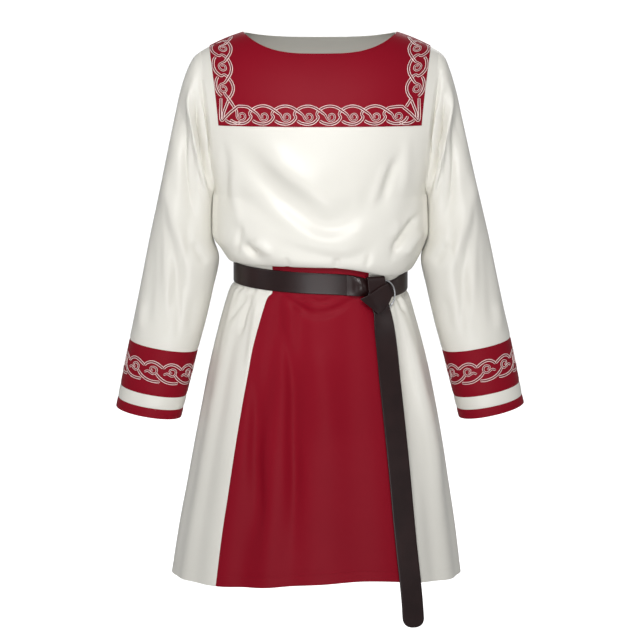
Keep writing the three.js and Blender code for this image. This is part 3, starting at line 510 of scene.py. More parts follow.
def ring_point(side, column, row, inside):
    """Front or back below the underarm: superellipse rings of the table, with the blouse's lifted
    edge, the hem's rise, the skirt's flutes along the outward normal and the broad creases."""
    angle = column_angle(column, row)
    around = angle if side > 0 else np.pi - angle
    lift = BLOUSE_LIFT * body_track("lift", row) * np.cos(angle) ** 2
    lift = lift if side > 0 else BACK_LIFT_SHARE * lift
    low = np.maximum(0, (row - HIP) / (HEM - HIP))
    rise = HEM_RISE * low**2 * bell(turn_from(around, HEM_RISE_ANGLE) / HEM_RISE_SPREAD)
    z = body_track("z", row) + body_track("follow", row) * belt_tilt(around) + lift + rise
    depth = body_track("front" if side > 0 else "back", row)
    x, y, out = superellipse(around, body_track("half", row), depth)
    creased = inside * broad_crease(side, x, z) * clamp01(TUCK - 1 - row)
    point = np.stack([x + body_track("shift", row), y - side * creased, z], -1)
    return point + out * skirt_fold(around, row)[..., None]


def body_point(side, column, row):
    """Front or back, side 1 or -1. Columns run from -16 to 16 across it. Rows run from -1 at the
    neck and shoulders, over 0 at the underarm, through the table's rings to the hem."""
    column, row = np.broadcast_arrays(np.asarray(column, float), np.asarray(row, float))
    inside = np.maximum(0, np.cos(np.pi / 2 * np.abs(column) / SIDE_COLUMN)) ** 0.7
    above = chest_point(side, column, np.minimum(row, 0), inside)
    below = ring_point(side, column, np.maximum(row, 0), inside)
    return np.where((row <= 0)[..., None], above, below)


def sleeve_point(wearer, side, share, ring):
    """A sleeve: share runs from the outer line, 0, to the inner line, 1, on the front, side 1, or
    the back, -1. A ring is a superellipse between its two lines, with its creases in y."""
    side, share, ring = np.broadcast_arrays(side, share, ring)
    at = {key: track(values, ring) for key, values in SLEEVE.items() if key != "name"}
    power = mix(CAP_SQUARENESS, SLEEVE_SQUARENESS, clamp01(ring / 6))
    rounded = (1 - np.abs(1 - 2 * share) ** power) ** (1 / power)
    crease = 0
    for on, share0, ring0, share1, ring1, width, depth in zip(*SLEEVE_CREASES.values()):
        along = (ring - ring0) / (ring1 - ring0)
        off = (share - mix(share0, share1, along)) / width
        here = (side == on) & (along >= 0) & (along <= 1)
        crease = crease + np.where(here, depth * np.sin(np.pi * along) * bell(off), 0)
    closer = 1 if wearer > 0 else 0
    x = mix(at["out_x"] - closer * at["near"], at["in_x"], share)
    y = -at["forward"] - side * (at["depth"] * rounded + crease)
    z = mix(at["out_z"] + closer * at["rise"], at["in_z"], share) - at["droop"] * side * rounded
    point = np.stack([wearer * x, y, z], -1)
    seam = [body_point(s, SIDE_COLUMN, share - 1) * (wearer, 1, 1) for s in (1, -1)]
    seam = np.where((side > 0)[..., None], *seam)
    return np.where((ring <= 0)[..., None], seam, point)


def armhole_share(i):
    """The share of the way down the armhole at a place from 0 to 10, closer together at the ends."""
    return 0.3 * (1 - np.cos(np.pi * i / ARMHOLE_ROWS)) + 0.4 * i / ARMHOLE_ROWS


def sleeve_around(wearer, place, ring):
    """A sleeve's point at a place from 0 to 20 round it, from its top down one side and up the
    other. The places turn so that rows down and places across face outwards."""
    outward = place <= ARMHOLE_ROWS
    share = armhole_share(np.where(outward, place, 2 * ARMHOLE_ROWS - place))
    side = np.where(outward == (wearer < 0), 1, -1)
    return sleeve_point(wearer, side, share, ring)


def grid_normals(points, closed=False):
    """Outward directions of a grid: the steps down its rows crossed with the steps across."""
    down = np.gradient(points, axis=0)
    if closed:
        across = np.roll(points, -1, 1) - np.roll(points, 1, 1)
    else:
        across = np.gradient(points, axis=1)
    return unit(np.cross(down, across))


def path_length(points, axis):
    """The distance run along one axis of a grid of points, from 0."""
    steps = np.linalg.norm(np.diff(points, axis=axis), axis=-1)
    start = np.zeros_like(np.take(steps, [0], axis))
    return np.concatenate([start, np.cumsum(steps, axis)], axis)


def flowing(rows, step=1.0):
    """A smooth curve through rows of places, resampled evenly: Catmull-Rom cubics."""
    rows = np.array(rows, float)
    padded = np.concatenate([[2 * rows[0] - rows[1]], rows, [2 * rows[-1] - rows[-2]]])
    at = np.linspace(0, len(rows) - 1, 16 * (len(rows) - 1) + 1)
    i = np.minimum(at.astype(int), len(rows) - 2)
    t = (at - i)[:, None]
    p, q, r, s = (padded[i + k] for k in range(4))
    curve = q + 0.5 * t * (r - p + t * (2 * p - 5 * q + 4 * r - s + t * (3 * (q - r) + s - p)))
    run = path_length(curve[:, :2], 0)
    even = np.linspace(0, run[-1], int(run[-1] / step) + 2)
    return np.stack([np.interp(even, run, column) for column in curve.T], -1), even


def make_mesh(name, points, quads, uv):
    """A smooth mesh object from points in millimetres, quads and one uv, in metres, for each point."""
    used, quads = np.unique(quads, return_inverse=True)
    quads = quads.reshape(-1, 4).astype(np.int32)
    points, uv = points[used], uv[used]
    mesh = bpy.data.meshes.new(name)
    mesh.vertices.add(len(points))
    mesh.vertices.foreach_set("co", (points * MM).astype(np.float32).ravel())
    mesh.loops.add(quads.size)
    mesh.loops.foreach_set("vertex_index", quads.ravel())
    mesh.polygons.add(len(quads))
    mesh.polygons.foreach_set("loop_start", np.arange(0, quads.size, 4, dtype=np.int32))
    mesh.polygons.foreach_set("use_smooth", np.ones(len(quads), bool))
    layer = mesh.uv_layers.new(name="flat")
    layer.data.foreach_set("uv", (uv * MM)[quads].astype(np.float32).ravel())
    mesh.update(calc_edges=True)
    mesh.validate()
    mesh.set_sharp_from_angle(angle=math.radians(55))
    piece = bpy.data.objects.new(name, mesh)
    bpy.context.scene.collection.objects.link(piece)
    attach(piece, "root")
    return piece


def shell(name, outer, inner, uv, holds=None, closed=False):
    """A closed wall between two layers of a grid, over the cells that holds keeps, with faces round
    its rims. Rows down and columns across face outwards on the outer layer."""
    rows, columns = outer.shape[:2]
    cells = np.ones((rows - 1, columns if closed else columns - 1), bool) if holds is None else holds
    r, c = np.nonzero(cells)
    after = (c + 1) % columns
    below = rows * columns
    p, q, s, t = r * columns + c, (r + 1) * columns + c, (r + 1) * columns + after, r * columns + after
    wide = np.pad(cells, 1)
    if closed:
        wide[:, 0], wide[:, -1] = wide[:, -2], wide[:, 1]
    quads = [np.stack([p, q, s, t], 1), np.stack([p, t, s, q], 1) + below]
    rims = (
        (wide[r + 1, c], (p, below + p, below + q, q)),
        (wide[r + 1, c + 2], (s, below + s, below + t, t)),
        (wide[r, c + 1], (t, below + t, below + p, p)),
        (wide[r + 2, c + 1], (q, below + q, below + s, s)),
    )
    quads += [np.stack(corners, 1)[~neighbour] for neighbour, corners in rims]
    points = np.concatenate([outer.reshape(-1, 3), inner.reshape(-1, 3)])
    return make_mesh(name, points, np.concatenate(quads), np.tile(uv.reshape(-1, 2), (2, 1)))


def tube_faces(count, width, first):
    """Faces of a closed tube of count rows of width points round it. Quads across the first and the
    last row close its ends: they join the points on either side of the place before point first."""
    r, c = (index.ravel() for index in np.indices((count - 1, width)))
    after = (c + 1) % width
    sides = np.stack([r * width + c, (r + 1) * width + c, (r + 1) * width + after, r * width + after], 1)
    k = first + np.arange(width // 2 - 1)
    partner = 2 * first - 1 - k
    cap = np.stack([k, k + 1, partner - 1, partner], 1) % width
    return np.concatenate([sides, cap, cap[:, ::-1] + (count - 1) * width])


def inside_out(quads):
    """Quads facing the other way, each from the same first point."""
    return np.roll(quads[:, ::-1], 1, 1)


# Finishes

def maths(operation, swapped=False):
    """A method that adds a Math node to a value's material: the value first, or last if swapped."""
    def apply(value, *others):
        values = (*others, value) if swapped else (value, *others)
        return value.finish.node("ShaderNodeMath", {"operation": operation}, *values)
    return apply


class Value:
    """A number that varies over a surface. Arithmetic on it adds the Math nodes."""

    __add__ = __radd__ = maths("ADD")
    __mul__ = __rmul__ = maths("MULTIPLY")
    __sub__, __rsub__ = maths("SUBTRACT"), maths("SUBTRACT", swapped=True)
    sine, size = maths("SINE"), maths("ABSOLUTE")

    def __init__(self, finish, socket):
        self.finish = finish
        self.socket = socket

    def over(self, low, high):
        """0 below low and 1 above high, smooth between them."""
        settings = {"interpolation_type": "SMOOTHSTEP"}
        return self.finish.node("ShaderNodeMapRange", settings, self, low, high, 0.0, 1.0)


class Finish:
    """A material made of one Principled shader: what is the same all over is set on it, and what
    varies is linked to it."""

    def __init__(self, name, **sockets):
        self.material = bpy.data.materials.new(name)
        self.material.use_nodes = True
        self.nodes = self.material.node_tree.nodes
        self.feed(self.nodes["Principled BSDF"], **sockets)

    def feed(self, node, *values, **named):
        """Sets or links a node's sockets, by number, but for values of None, and by name."""
        for key, value in [*enumerate(values), *named.items()]:
            socket = node.inputs[key.replace("_", " ") if isinstance(key, str) else key]
            if isinstance(value, Value):
                self.material.node_tree.links.new(value.socket, socket)
            elif value is not None:
                socket.default_value = value

    def vary(self, **sockets):
        """The material, with what varies over it linked to its shader."""
        self.feed(self.nodes["Principled BSDF"], **sockets)
        return self.material

    def node(self, kind, settings, *values, output=0, **named):
        """A node of a kind, its settings made first, with values or links in its sockets."""
        made = self.nodes.new(kind)
        for key, setting in settings.items():
            setattr(made, key, setting)
        self.feed(made, *values, **named)
        return Value(self, made.outputs[output])

    def uv(self):
        """The piece's flat place on its cloth or strap, in metres, as two numbers."""
        parts = self.node("ShaderNodeSeparateXYZ", {}, self.node("ShaderNodeUVMap", {"uv_map": "flat"}))
        return parts, Value(self, parts.socket.node.outputs[1])

    def vector(self, x, y):
        return self.node("ShaderNodeCombineXYZ", {}, x, y, 0.0)

    def place(self):
        """The place in the part, in metres."""
        return self.node("ShaderNodeTexCoord", {}, output=3)

    def noise(self, vector, scale, detail=2.0, roughness=0.5):
        named = {"Vector": vector, "Scale": scale, "Detail": detail, "Roughness": roughness}
        return self.node("ShaderNodeTexNoise", {}, **named)

    def blend(self, share, first, second):
        """The colour a share of the way from the first to the second."""
        colours = {"data_type": "RGBA"}
        return self.node("ShaderNodeMix", colours, share, *[None] * 5, first, second, output=2)

    def bump(self, height, strength, distance, normal=None):
        named = {"Strength": strength, "Distance": distance, "Height": height, "Normal": normal}
        return self.node("ShaderNodeBump", {}, **named)


def shade(red, green, blue):
    """A colour as the shader takes it, from the 0 to 255 values of a screen."""
    parts = np.array([red, green, blue]) / 255
    linear = np.where(parts <= 0.04045, parts / 12.92, ((parts + 0.055) / 1.055) ** 2.4)
    return (*linear.tolist(), 1.0)


def woven(name, colour, shadow, roughness, sheen, shine, thread=0.00042):
    """Satin-woven cloth: fine warp threads with uneven slubs, a soft sheen and faint shading."""
    finish = Finish(name, Sheen_Weight=sheen, Sheen_Roughness=0.35, Specular_IOR_Level=shine)
    u, v = finish.uv()
    warp = (u * (2 * math.pi / thread)).sine()
    weft = (v * (2 * math.pi / (1.25 * thread))).sine()
    slub = finish.noise(finish.vector(u * 260, v * 26), 6.0, 3.0, 0.6)
    cross = finish.noise(finish.vector(u * 26, v * 260), 6.0, 3.0, 0.6)
    broad = finish.noise(finish.place(), 7.0, 3.0, 0.5)
    weave = 0.5 + 0.22 * warp + 0.14 * weft + 0.5 * (slub - 0.5) + 0.4 * (cross - 0.5)
    tone = (0.35 * (1 - weave) + 0.5 * (broad - 0.3)).over(0.0, 1.0)
    colour = finish.blend(tone, shade(*colour), shade(*shadow))
    rough = roughness + 0.10 * (broad - 0.5) + 0.08 * (slub - 0.5)
    normal = finish.bump(weave, 0.35, 0.00012)
    return finish.vary(Base_Color=colour, Roughness=rough, Normal=normal)


def tanned(name):
    """Smooth dark leather: pores and faint wrinkles, and a tone a little lighter in places at random."""
    finish = Finish(name, Specular_IOR_Level=0.3, Coat_Roughness=0.3, Coat_Weight=0.12)
    u, v = finish.uv()
    flat = finish.vector(u, v)
    pores = finish.noise(flat, 1500.0, 2.0, 0.6)
    wrinkle = finish.noise(finish.vector(u * 90, v * 30), 4.0, 4.0, 0.6)
    broad = finish.noise(finish.place(), 24.0, 3.0, 0.55)
    colour = finish.blend((1.4 * broad - 0.3).over(0.0, 1.0), shade(25, 5, 6), shade(37, 12, 12))
    rough = 0.27 + 0.16 * (pores - 0.5) + 0.14 * broad
    fine = finish.bump(pores, 0.18, 0.0001)
    normal = finish.bump(wrinkle, 0.22, 0.0003, fine)
    return finish.vary(Base_Color=colour, Roughness=rough, Normal=normal)


def drawn_steel(name):
    """Polished steel wire with faint draw marks along it."""
    finish = Finish(name, Metallic=1.0)
    u, v = finish.uv()
    marks = finish.noise(finish.vector(u * 60, v * 2600), 3.0, 2.0, 0.5)
    colour = finish.blend(marks, shade(206, 207, 210), shade(182, 184, 188))
    return finish.vary(Base_Color=colour, Roughness=0.3 + 0.14 * marks)


def embroidery(name):
    """Satin stitches across each strand: pale threads along both of its edges, dark ones between."""
    finish = Finish(name, Sheen_Weight=0.2, Sheen_Roughness=0.3, Specular_IOR_Level=0.4)
    u, v = finish.uv()
    thread = (u * (2 * math.pi / 0.00055)).sine()
    uneven = finish.noise(finish.place(), 420.0, 2.0, 0.5)
    pale = v.size().over(0.0011, 0.0014)
    light = finish.blend(uneven, shade(255, 238, 234), shade(240, 212, 208))
    dark = finish.blend(uneven, shade(100, 8, 24), shade(124, 10, 28))
    normal = finish.bump(0.5 + 0.35 * thread + 0.3 * uneven, 0.4, 0.0002)
    colour = finish.blend(pale, dark, light)
    return finish.vary(Base_Color=colour, Roughness=0.42 + 0.12 * uneven, Normal=normal)


# Each finish with a slot's name beside it
WHITE = woven("ivory_cloth", (232, 230, 222), (222, 219, 210), 0.36, 0.05, 0.55), "white_cloth"
RED = woven("red_cloth", (139, 8, 31), (119, 7, 26), 0.5, 0.0, 0.1), "red_cloth"
EMBROIDERY = embroidery("interlace_threads"), "white_cloth"
LEATHER_BROWN = tanned("belt_leather"), "belt_leather"
STEEL = drawn_steel("ring_steel"), "ring_steel"


def dress(piece, finish, *nodes):
    """Gives a piece its finish, and lets it stand for its solids."""
    material, slot = finish
    piece.data.materials.append(material)
    if nodes:
        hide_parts(*nodes)
    return piece


def cloth(node, finish, outer, inner, uv, holds=None, closed=False):
    """The shell that stands for a solid of cloth."""
    return dress(shell(f"{node}_cloth", outer, inner, uv, holds, closed), finish, node)


# Front, back, skirt panel and yoke

SEAM_STEPS = np.array([0.05, 0.11, 0.2])
ROW_ENDS = np.concatenate([[-1, -0.5], np.arange(HEM + 1)])
ROW_COUNTS = [40, 26, 11, 11, 8, 8, 5, 4, 3, 5, 12, 16, 16, 16, 16, 16, 20]
YOKE_RISE, YOKE_CLOTH, YOKE_ROWS = 0.25, 1.1, ROW_COUNTS[0] + 1


def steps_between(ends, counts):
    """Evenly spaced values between each pair of neighbouring ends, count steps in each."""
    parts = [np.linspace(a, b, n, endpoint=False) for a, b, n in zip(ends[:-1], ends[1:], counts)]
    return np.concatenate([*parts, ends[-1:]])


BODY_ROWS = steps_between(ROW_ENDS, ROW_COUNTS)


def body_columns(step, *seams):
    """Columns across the front or back, with extra ones close beside each seam."""
    even = np.arange(-SIDE_COLUMN, SIDE_COLUMN + step / 2, step)
    close = np.add.outer([*seams, *np.negative(seams)], [*SEAM_STEPS, *-SEAM_STEPS]).ravel()
    columns = np.unique(np.round(np.concatenate([even, close[np.abs(close) < SIDE_COLUMN]]), 4))
    return columns[np.diff(columns, prepend=-np.inf) > 0.03]


def seam_dip(distance, width=2.2, depth=-0.8):
    """The groove of a seam, by the distance from it in millimetres."""
    return depth * bell(distance / width)


def body_relief(side, column, row, point):
    """What the fine creases, the gathers and the seams add along the cloth's outward direction."""
    x, y, z = np.moveaxis(point, -1, 0)
    c = np.abs(column)
    angle = column_angle(column, np.maximum(row, 0))
    around = angle if side > 0 else np.pi - angle
    inside = ease((SIDE_COLUMN - c) / 1.5) * ease((row + 1) / 0.35)
    bodice = soft_folds(FOLDS[side], x, z) * inside * ease(np.abs(row - TUCK) / 0.8)
    lower = gather(around, z) * ease((row - 1) / 2.5) * ease((HEM - row) / 2)
    mm_per_column = np.where(row > HIP, 17.5, 15.0)
    side_seam = np.where(row > 0, seam_dip((SIDE_COLUMN - c) * mm_per_column), 0)
    pleat = ease((z - PLEAT_BOTTOM) / 26) * ease((PLEAT_TOP - z) / 20) * ease((c - PLEAT_COLUMN) / 2)
    relief = bodice + lower + side_seam + SIDE_PLEAT * pleat * bell((np.abs(y) - PLEAT_Y) / 10)
    if side > 0:
        relief = relief + seam_dip((c - PANEL_COLUMN) * 11.5) * ease((row - TUCK) / 0.3)
    to_hem = np.linalg.norm(point - point[-1:], axis=-1)
    return relief + seam_dip(to_hem - HEM_DEPTH, 1.6, -0.5), to_hem


def body_layers(side, columns):
    """The outer and inner layers of the front or back, its outward directions, and its flat uv in
    millimetres."""
    column, row = np.meshgrid(columns * side, BODY_ROWS)
    base = body_point(side, column, row)
    relief, to_hem = body_relief(side, column, row, base)
    outer = base + grid_normals(base) * relief[..., None]
    normal = grid_normals(outer)
    wall = CLOTH + HEM_FOLD * ease((HEM_DEPTH + 1 - to_hem) / 2)
    across = path_length(base, 1)
    across = across - across[:, len(columns) // 2, None]
    return outer, outer - normal * wall[..., None], normal, np.stack([across, -path_length(base, 0)], -1)


front_columns = body_columns(1 / 6, PANEL_COLUMN, YOKE_COLUMN, SIDE_COLUMN)
outer, inner, normal, uv = body_layers(1, front_columns)
front_face = outer, normal
cell_column = np.abs(front_columns[:-1] + front_columns[1:]) / 2
cell_row = (BODY_ROWS[:-1, None] + BODY_ROWS[1:, None]) / 2
in_panel = (cell_row > TUCK) & (cell_column < PANEL_COLUMN)
in_yoke = (cell_row < armhole_share(5) - 1) & (cell_column < YOKE_COLUMN)
front = cloth("front", WHITE, outer, inner, uv, ~in_panel)
skirt_panel = cloth("skirt_panel", RED, outer, inner, uv, in_panel)
yoke_layers = [outer + normal * rise for rise in (YOKE_RISE + YOKE_CLOTH, YOKE_RISE)]
yoke = cloth("yoke", RED, *yoke_layers, uv, in_yoke)

back_columns = body_columns(1 / 5, SIDE_COLUMN)
back_outer, back_inner, back_normal, uv = body_layers(-1, back_columns)
back = cloth("back", WHITE, back_outer, back_inner, uv)


# Sleeves and cuffs

SLEEVE_PLACES = np.arange(0, 2 * ARMHOLE_ROWS, 1 / 9)
RING_COUNTS = [8, 8, 10, 12, 12, 12, 12, 12, 12, 12, 12, 18, 6, 5]
SLEEVE_RINGS = steps_between(np.arange(EDGE + 1), RING_COUNTS)
CUFF_PIECES = (
    ("sleeve", 0, BAND_TOP, WHITE),
    ("cuff_band", BAND_TOP, BAND_LOW, RED),
    ("cuff_stripe", BAND_LOW, STRIPE_LOW, WHITE),
    ("cuff_edge", STRIPE_LOW, EDGE, RED),
)


def sleeve_layers(wearer):
    """The outer and inner layers of a sleeve with its cuff, its outward directions, and its flat uv
    in millimetres."""
    place, ring = np.meshgrid(SLEEVE_PLACES, SLEEVE_RINGS)
    base = sleeve_around(wearer, place, ring)
    on_front = (place <= ARMHOLE_ROWS) == (wearer < 0)
    x, z = np.abs(base[..., 0]), base[..., 2]
    relief = np.where(on_front, *(soft_folds(SLEEVE_FOLDS[side], x, z) for side in (1, -1)))
    turned = ease(np.minimum(place % ARMHOLE_ROWS, -place % ARMHOLE_ROWS) / 1.2)
    relief = relief * turned * ease(ring / 0.8) * ease((BAND_TOP - ring) / 0.8)
    for seam in (BAND_TOP, BAND_LOW, STRIPE_LOW):
        at = np.argmin(np.abs(SLEEVE_RINGS - seam))
        relief = relief + seam_dip(np.linalg.norm(base - base[at], axis=-1))
    outer = base + grid_normals(base, closed=True) * relief[..., None]
    normal = grid_normals(outer, closed=True)
    wall = CLOTH + HEM_FOLD * ease((HEM_DEPTH - np.linalg.norm(base - base[-1], axis=-1)) / 3)
    uv = np.stack([path_length(base, 1), -path_length(base, 0)], -1)
    return outer, outer - normal * wall[..., None], normal, uv


sleeve_pieces, sleeve_surfaces = {}, {}
for wearer, hand in ((1, "left"), (-1, "right")):
    outer, inner, normal, uv = sleeve_layers(wearer)
    sleeve_surfaces[hand] = outer, normal, uv
    cell_ring = (SLEEVE_RINGS[:-1, None] + SLEEVE_RINGS[1:, None]) / 2 + 0 * SLEEVE_PLACES
    for name, top, bottom, finish in CUFF_PIECES:
        holds = (cell_ring > top) & (cell_ring < bottom)
        piece = cloth(f"{name}_{hand}", finish, outer, inner, uv, holds, closed=True)
        sleeve_pieces[name, hand] = piece


# Embroidery

def sample(grid, i, j):
    """A grid's values at places between its points: straight between the nearest four."""
    i = np.clip(i, 0, grid.shape[0] - 1.001)
    j = np.clip(j, 0, grid.shape[1] - 1.001)
    r, c = i.astype(int), j.astype(int)
    down, across = (i - r)[..., None], (j - c)[..., None]
    upper = mix(grid[r, c], grid[r, c + 1], across)
    return mix(upper, mix(grid[r + 1, c], grid[r + 1, c + 1], across), down)


def chart_place(chart, flat):
    """Where chart places lie on a grid whose points have flat places: 12 steps of Newton's method,
    each coordinate on its own."""
    last = np.array(flat.shape[:2]) - 1.5
    i, j = (np.full(chart.shape[:-1], (end + 0.5) / 2) for end in last)
    for _ in range(12):
        off = chart - sample(flat, i, j)
        across = (sample(flat, i, j + 0.5) - sample(flat, i, j - 0.5))[..., 0]
        down = (sample(flat, i + 0.5, j) - sample(flat, i - 0.5, j))[..., 1]
        j = np.clip(j + off[..., 0] / np.where(across == 0, 1, across), 0.5, last[1])
        i = np.clip(i + off[..., 1] / np.where(down == 0, 1, down), 0.5, last[0])
    return i, j


def embroider(name, strands, surface, normals, flat):
    """Raised strands sewn on a surface: each is a closed ribbon along its charted curve, whose
    section stands up along the surface's outward direction. Both ends are rounded."""
    across, height = EMBROIDERED.values()
    width = len(across)
    points, quads, uv, first = [], [], [], 0
    for rows in strands:
        curve, run = flowing(rows)
        forward = unit(np.gradient(curve[:, :2], axis=0))
        side = np.stack([forward[:, 1], -forward[:, 0]], -1)
        to_end = clamp01(np.minimum(run, run[-1] - run) / across.max())
        round_end = np.maximum(0.08, np.sqrt(1 - (1 - to_end) ** 2))
        reach = across * (round_end * curve[:, 3])[:, None]
        i, j = chart_place(curve[:, None, :2] + side[:, None] * reach[..., None], flat)
        rise = height * (0.3 + 0.7 * round_end)[:, None] + curve[:, 2:3]
        ribbon = sample(surface, i, j) + sample(normals, i, j) * rise[..., None]
        held = np.flatnonzero((i[:, 5] > 0.6) & (i[:, 5] < flat.shape[0] - 1.6))
        if len(held) < 4:
            continue
        keep = slice(held[0], held[-1] + 1)
        count = held[-1] + 1 - held[0]
        quads.append(tube_faces(count, width, -1) + first)
        points.append(ribbon[keep].reshape(-1, 3))
        uv.append(np.stack(np.broadcast_arrays(run[keep, None], across), -1).reshape(-1, 2))
        first += count * width
    piece = make_mesh(name, np.concatenate(points), np.concatenate(quads), np.concatenate(uv))
    return dress(piece, EMBROIDERY)


def moved(rows, origin, along=(1, 0), up=(0, 1)):
    """Chart rows placed at an origin, with the directions of their first two columns given."""
    rows = np.array([(*row, 0, 1)[:4] for row in rows], float)
    place = np.array(origin) + rows[:, :1] * np.array(along) + rows[:, 1:2] * np.array(up)
    return np.concatenate([place, rows[:, 2:]], 1)


yoke_columns = np.linspace(-YOKE_COLUMN, YOKE_COLUMN, 157)
outer, _, normal, uv = (grid[:YOKE_ROWS] for grid in body_layers(1, yoke_columns))
yoke_face = outer + normal * (YOKE_RISE + YOKE_CLOTH), normal
yoke_flat = np.stack([outer[..., 0], uv[..., 1] - uv[-1, :, 1]], -1)
corner_x = yoke_flat[-1, -1, 0]
first_curl = FIRST_CURL_IN - corner_x
curls = [(first_curl + CURL_PITCH * i, CURL_HEIGHT) for i in range(-1, 8)]
left, right = {"origin": (-corner_x, 0)}, {"origin": (corner_x, 0), "along": (-1, 0)}
CURL = UNDER_CURL + OVER_NEXT + INTO_CURL
strands = [moved(CURL, curl) for curl in curls[1:7]]
strands += [
    np.concatenate([moved(EDGE_STRAND, **left), moved(INTO_CURL[1:], curls[0])]),
    np.concatenate(
        [moved(DIAGONAL_STRAND, **left), moved(INTO_CURL[5:], (first_curl - 2 * CURL_PITCH, CURL_HEIGHT))]
    ),
    moved(FOOT_STRAND, **left),
    np.concatenate([moved(UNDER_CURL + OVER_NEXT[:-1], curls[7]), moved(EDGE_STRAND[::-1], **right)]),
    moved(UNDER_CURL + OVER_NEXT[:1], curls[8]),
    moved(FOOT_STRAND, **right),
    moved(DIAGONAL_STRAND[2:4], **right),
]
TOWARDS_CORNER = [(37.7, 17, 0.3, 1), (46.4, 13.4, 0.6, 1), (56, 6, 0.3, 1)]
edge_x = np.interp(SIDE_CURLS, yoke_flat[::-1, -1, 1], yoke_flat[::-1, -1, 0])
for hand in (-1, 1):
    places = [(hand * (x - SIDE_CURL_IN), height) for x, height in zip(edge_x, SIDE_CURLS)]
    slant = (places[1][0] - places[0][0]) / (SIDE_CURLS[1] - SIDE_CURLS[0])
    side = {"along": (-slant, -1), "up": (-hand, -hand * slant)}
    strands += [
        moved(INNER_STRAND, (hand * corner_x, 0), along=(-hand, 0)),
        moved(UNDER_CURL, places[0], **side),
        moved(UNDER_CURL + OVER_NEXT + TOWARDS_CORNER, places[1], **side),
        moved(CURL, places[2], **side),
        moved(CURL, places[3], **side),
        moved(INTO_CURL, (places[3][0], places[3][1] + CURL_PITCH), **side),
    ]
yoke_border = embroider("yoke_border", strands, *yoke_face, yoke_flat)


def once_round(grid):
    """A grid that closes on itself, with its first column again at its end."""
    return np.concatenate([grid, grid[:, :1]], 1)


def with_neighbours(grid, turn=0):
    """A grid once round, with the turns before and after it; turn is what its values gain in one."""
    return np.concatenate([grid[:, :-1] - turn, grid, grid[:, 1:] + turn], 1)


on_band = (SLEEVE_RINGS >= BAND_TOP - 1e-6) & (SLEEVE_RINGS <= BAND_LOW + 1e-6)
cuff_borders = {}
for hand, mirror in (("left", -1), ("right", 1)):
    outer, normal, uv = (once_round(grid)[on_band] for grid in sleeve_surfaces[hand])
    around = path_length(outer, 1)
    girth = KNOT_PITCHES * KNOT_PITCH
    around = with_neighbours(around / around[:, -1:] * girth, girth)
    cuff_flat = np.stack([around, with_neighbours(uv[..., 1] - uv[-1:, :, 1])], -1)
    strands = [
        moved(rows, ((knot + 0.5) * KNOT_PITCH, KNOT_HEIGHT), along=(mirror, 0))
        for knot in range(KNOT_PITCHES)
        for rows in KNOT_STRANDS
    ]
    surface = with_neighbours(outer), with_neighbours(normal)
    cuff_borders[hand] = embroider(f"cuff_border_{hand}", strands, *surface, cuff_flat)


# Stitches

STITCH_PITCH, STITCH_LENGTH, STITCH_WIDTH, STITCH_HEIGHT, STITCH_FOOT = 4.0, 3.0, 0.7, 0.4, 0.12
CLOSE_TO_EDGE, BAND_LINE, HEMMED_EDGE, BACK_NECK_LINE = 2.2, 2.4, 7, 8.5


def beside_edge(distance, points, normals):
    """The line on a grid at a distance from its last row, with the outward directions there."""
    steps = np.linalg.norm(np.diff(points, axis=0), axis=-1)
    to_end = np.concatenate([steps[::-1].cumsum(0)[::-1], 0 * steps[:1]])
    r = np.clip((to_end > distance).sum(0) - 1, 0, len(points) - 2)
    c = np.arange(points.shape[1])
    share = ((to_end[r, c] - distance) / (to_end[r, c] - to_end[r + 1, c]))[:, None]
    return [mix(grid[r, c], grid[r + 1, c], share) for grid in (points, normals)]


def stitched(name, finish, *lines):
    """Stitches set every pitch along lines: bars whose section is an arch with its feet in the cloth.
    At the share s of a bar's length its size is sin(pi s)^(1/2) of the full one."""
    turn = np.radians([-90, -45, 0, 45, 90, 180])
    share = np.linspace(0, 1, 5)
    size = np.sin(np.pi * np.clip(share, 0.06, 0.94))[:, None] ** 0.5
    across = np.sin(turn) * size * STITCH_WIDTH / 2
    rise = np.where(turn > 3, -STITCH_FOOT, np.cos(turn) * STITCH_HEIGHT * size)
    bars = []
    for line, outward in lines:
        run = path_length(line[:, None], 0)[:, 0]
        starts = np.arange(STITCH_PITCH, run[-1] - 2 * STITCH_PITCH, STITCH_PITCH)
        at = starts[:, None] + STITCH_LENGTH * share
        place, out = (
            np.stack([np.interp(at, run, column) for column in values.T], -1)[:, :, None]
            for values in (line, outward)
        )
        side = np.cross(unit(place[:, -1:] - place[:, :1]), unit(out))
        bars.append(place + side * across[..., None] + out * rise[..., None])
    bars = np.concatenate(bars)
    count, rows, wide = bars.shape[:3]
    quads = inside_out(tube_faces(rows, wide, 0)) + np.arange(count)[:, None, None] * rows * wide
    points = bars.reshape(-1, 3)
    return dress(make_mesh(name, points, quads.reshape(-1, 4), points[:, :2]), finish)


def upside_down(surface):
    """A grid and its outward directions with the last row first."""
    return [grid[::-1] for grid in surface]


def columns_of(surface, *ends):
    """The part of a grid, and of its outward directions, between two of its columns."""
    return [grid[:, slice(*ends)] for grid in surface]


def neck_of(columns):
    """The first and the last column of the neckline, among columns."""
    return np.flatnonzero(np.abs(columns) < NECK_COLUMN - 0.3)[[0, -1]]


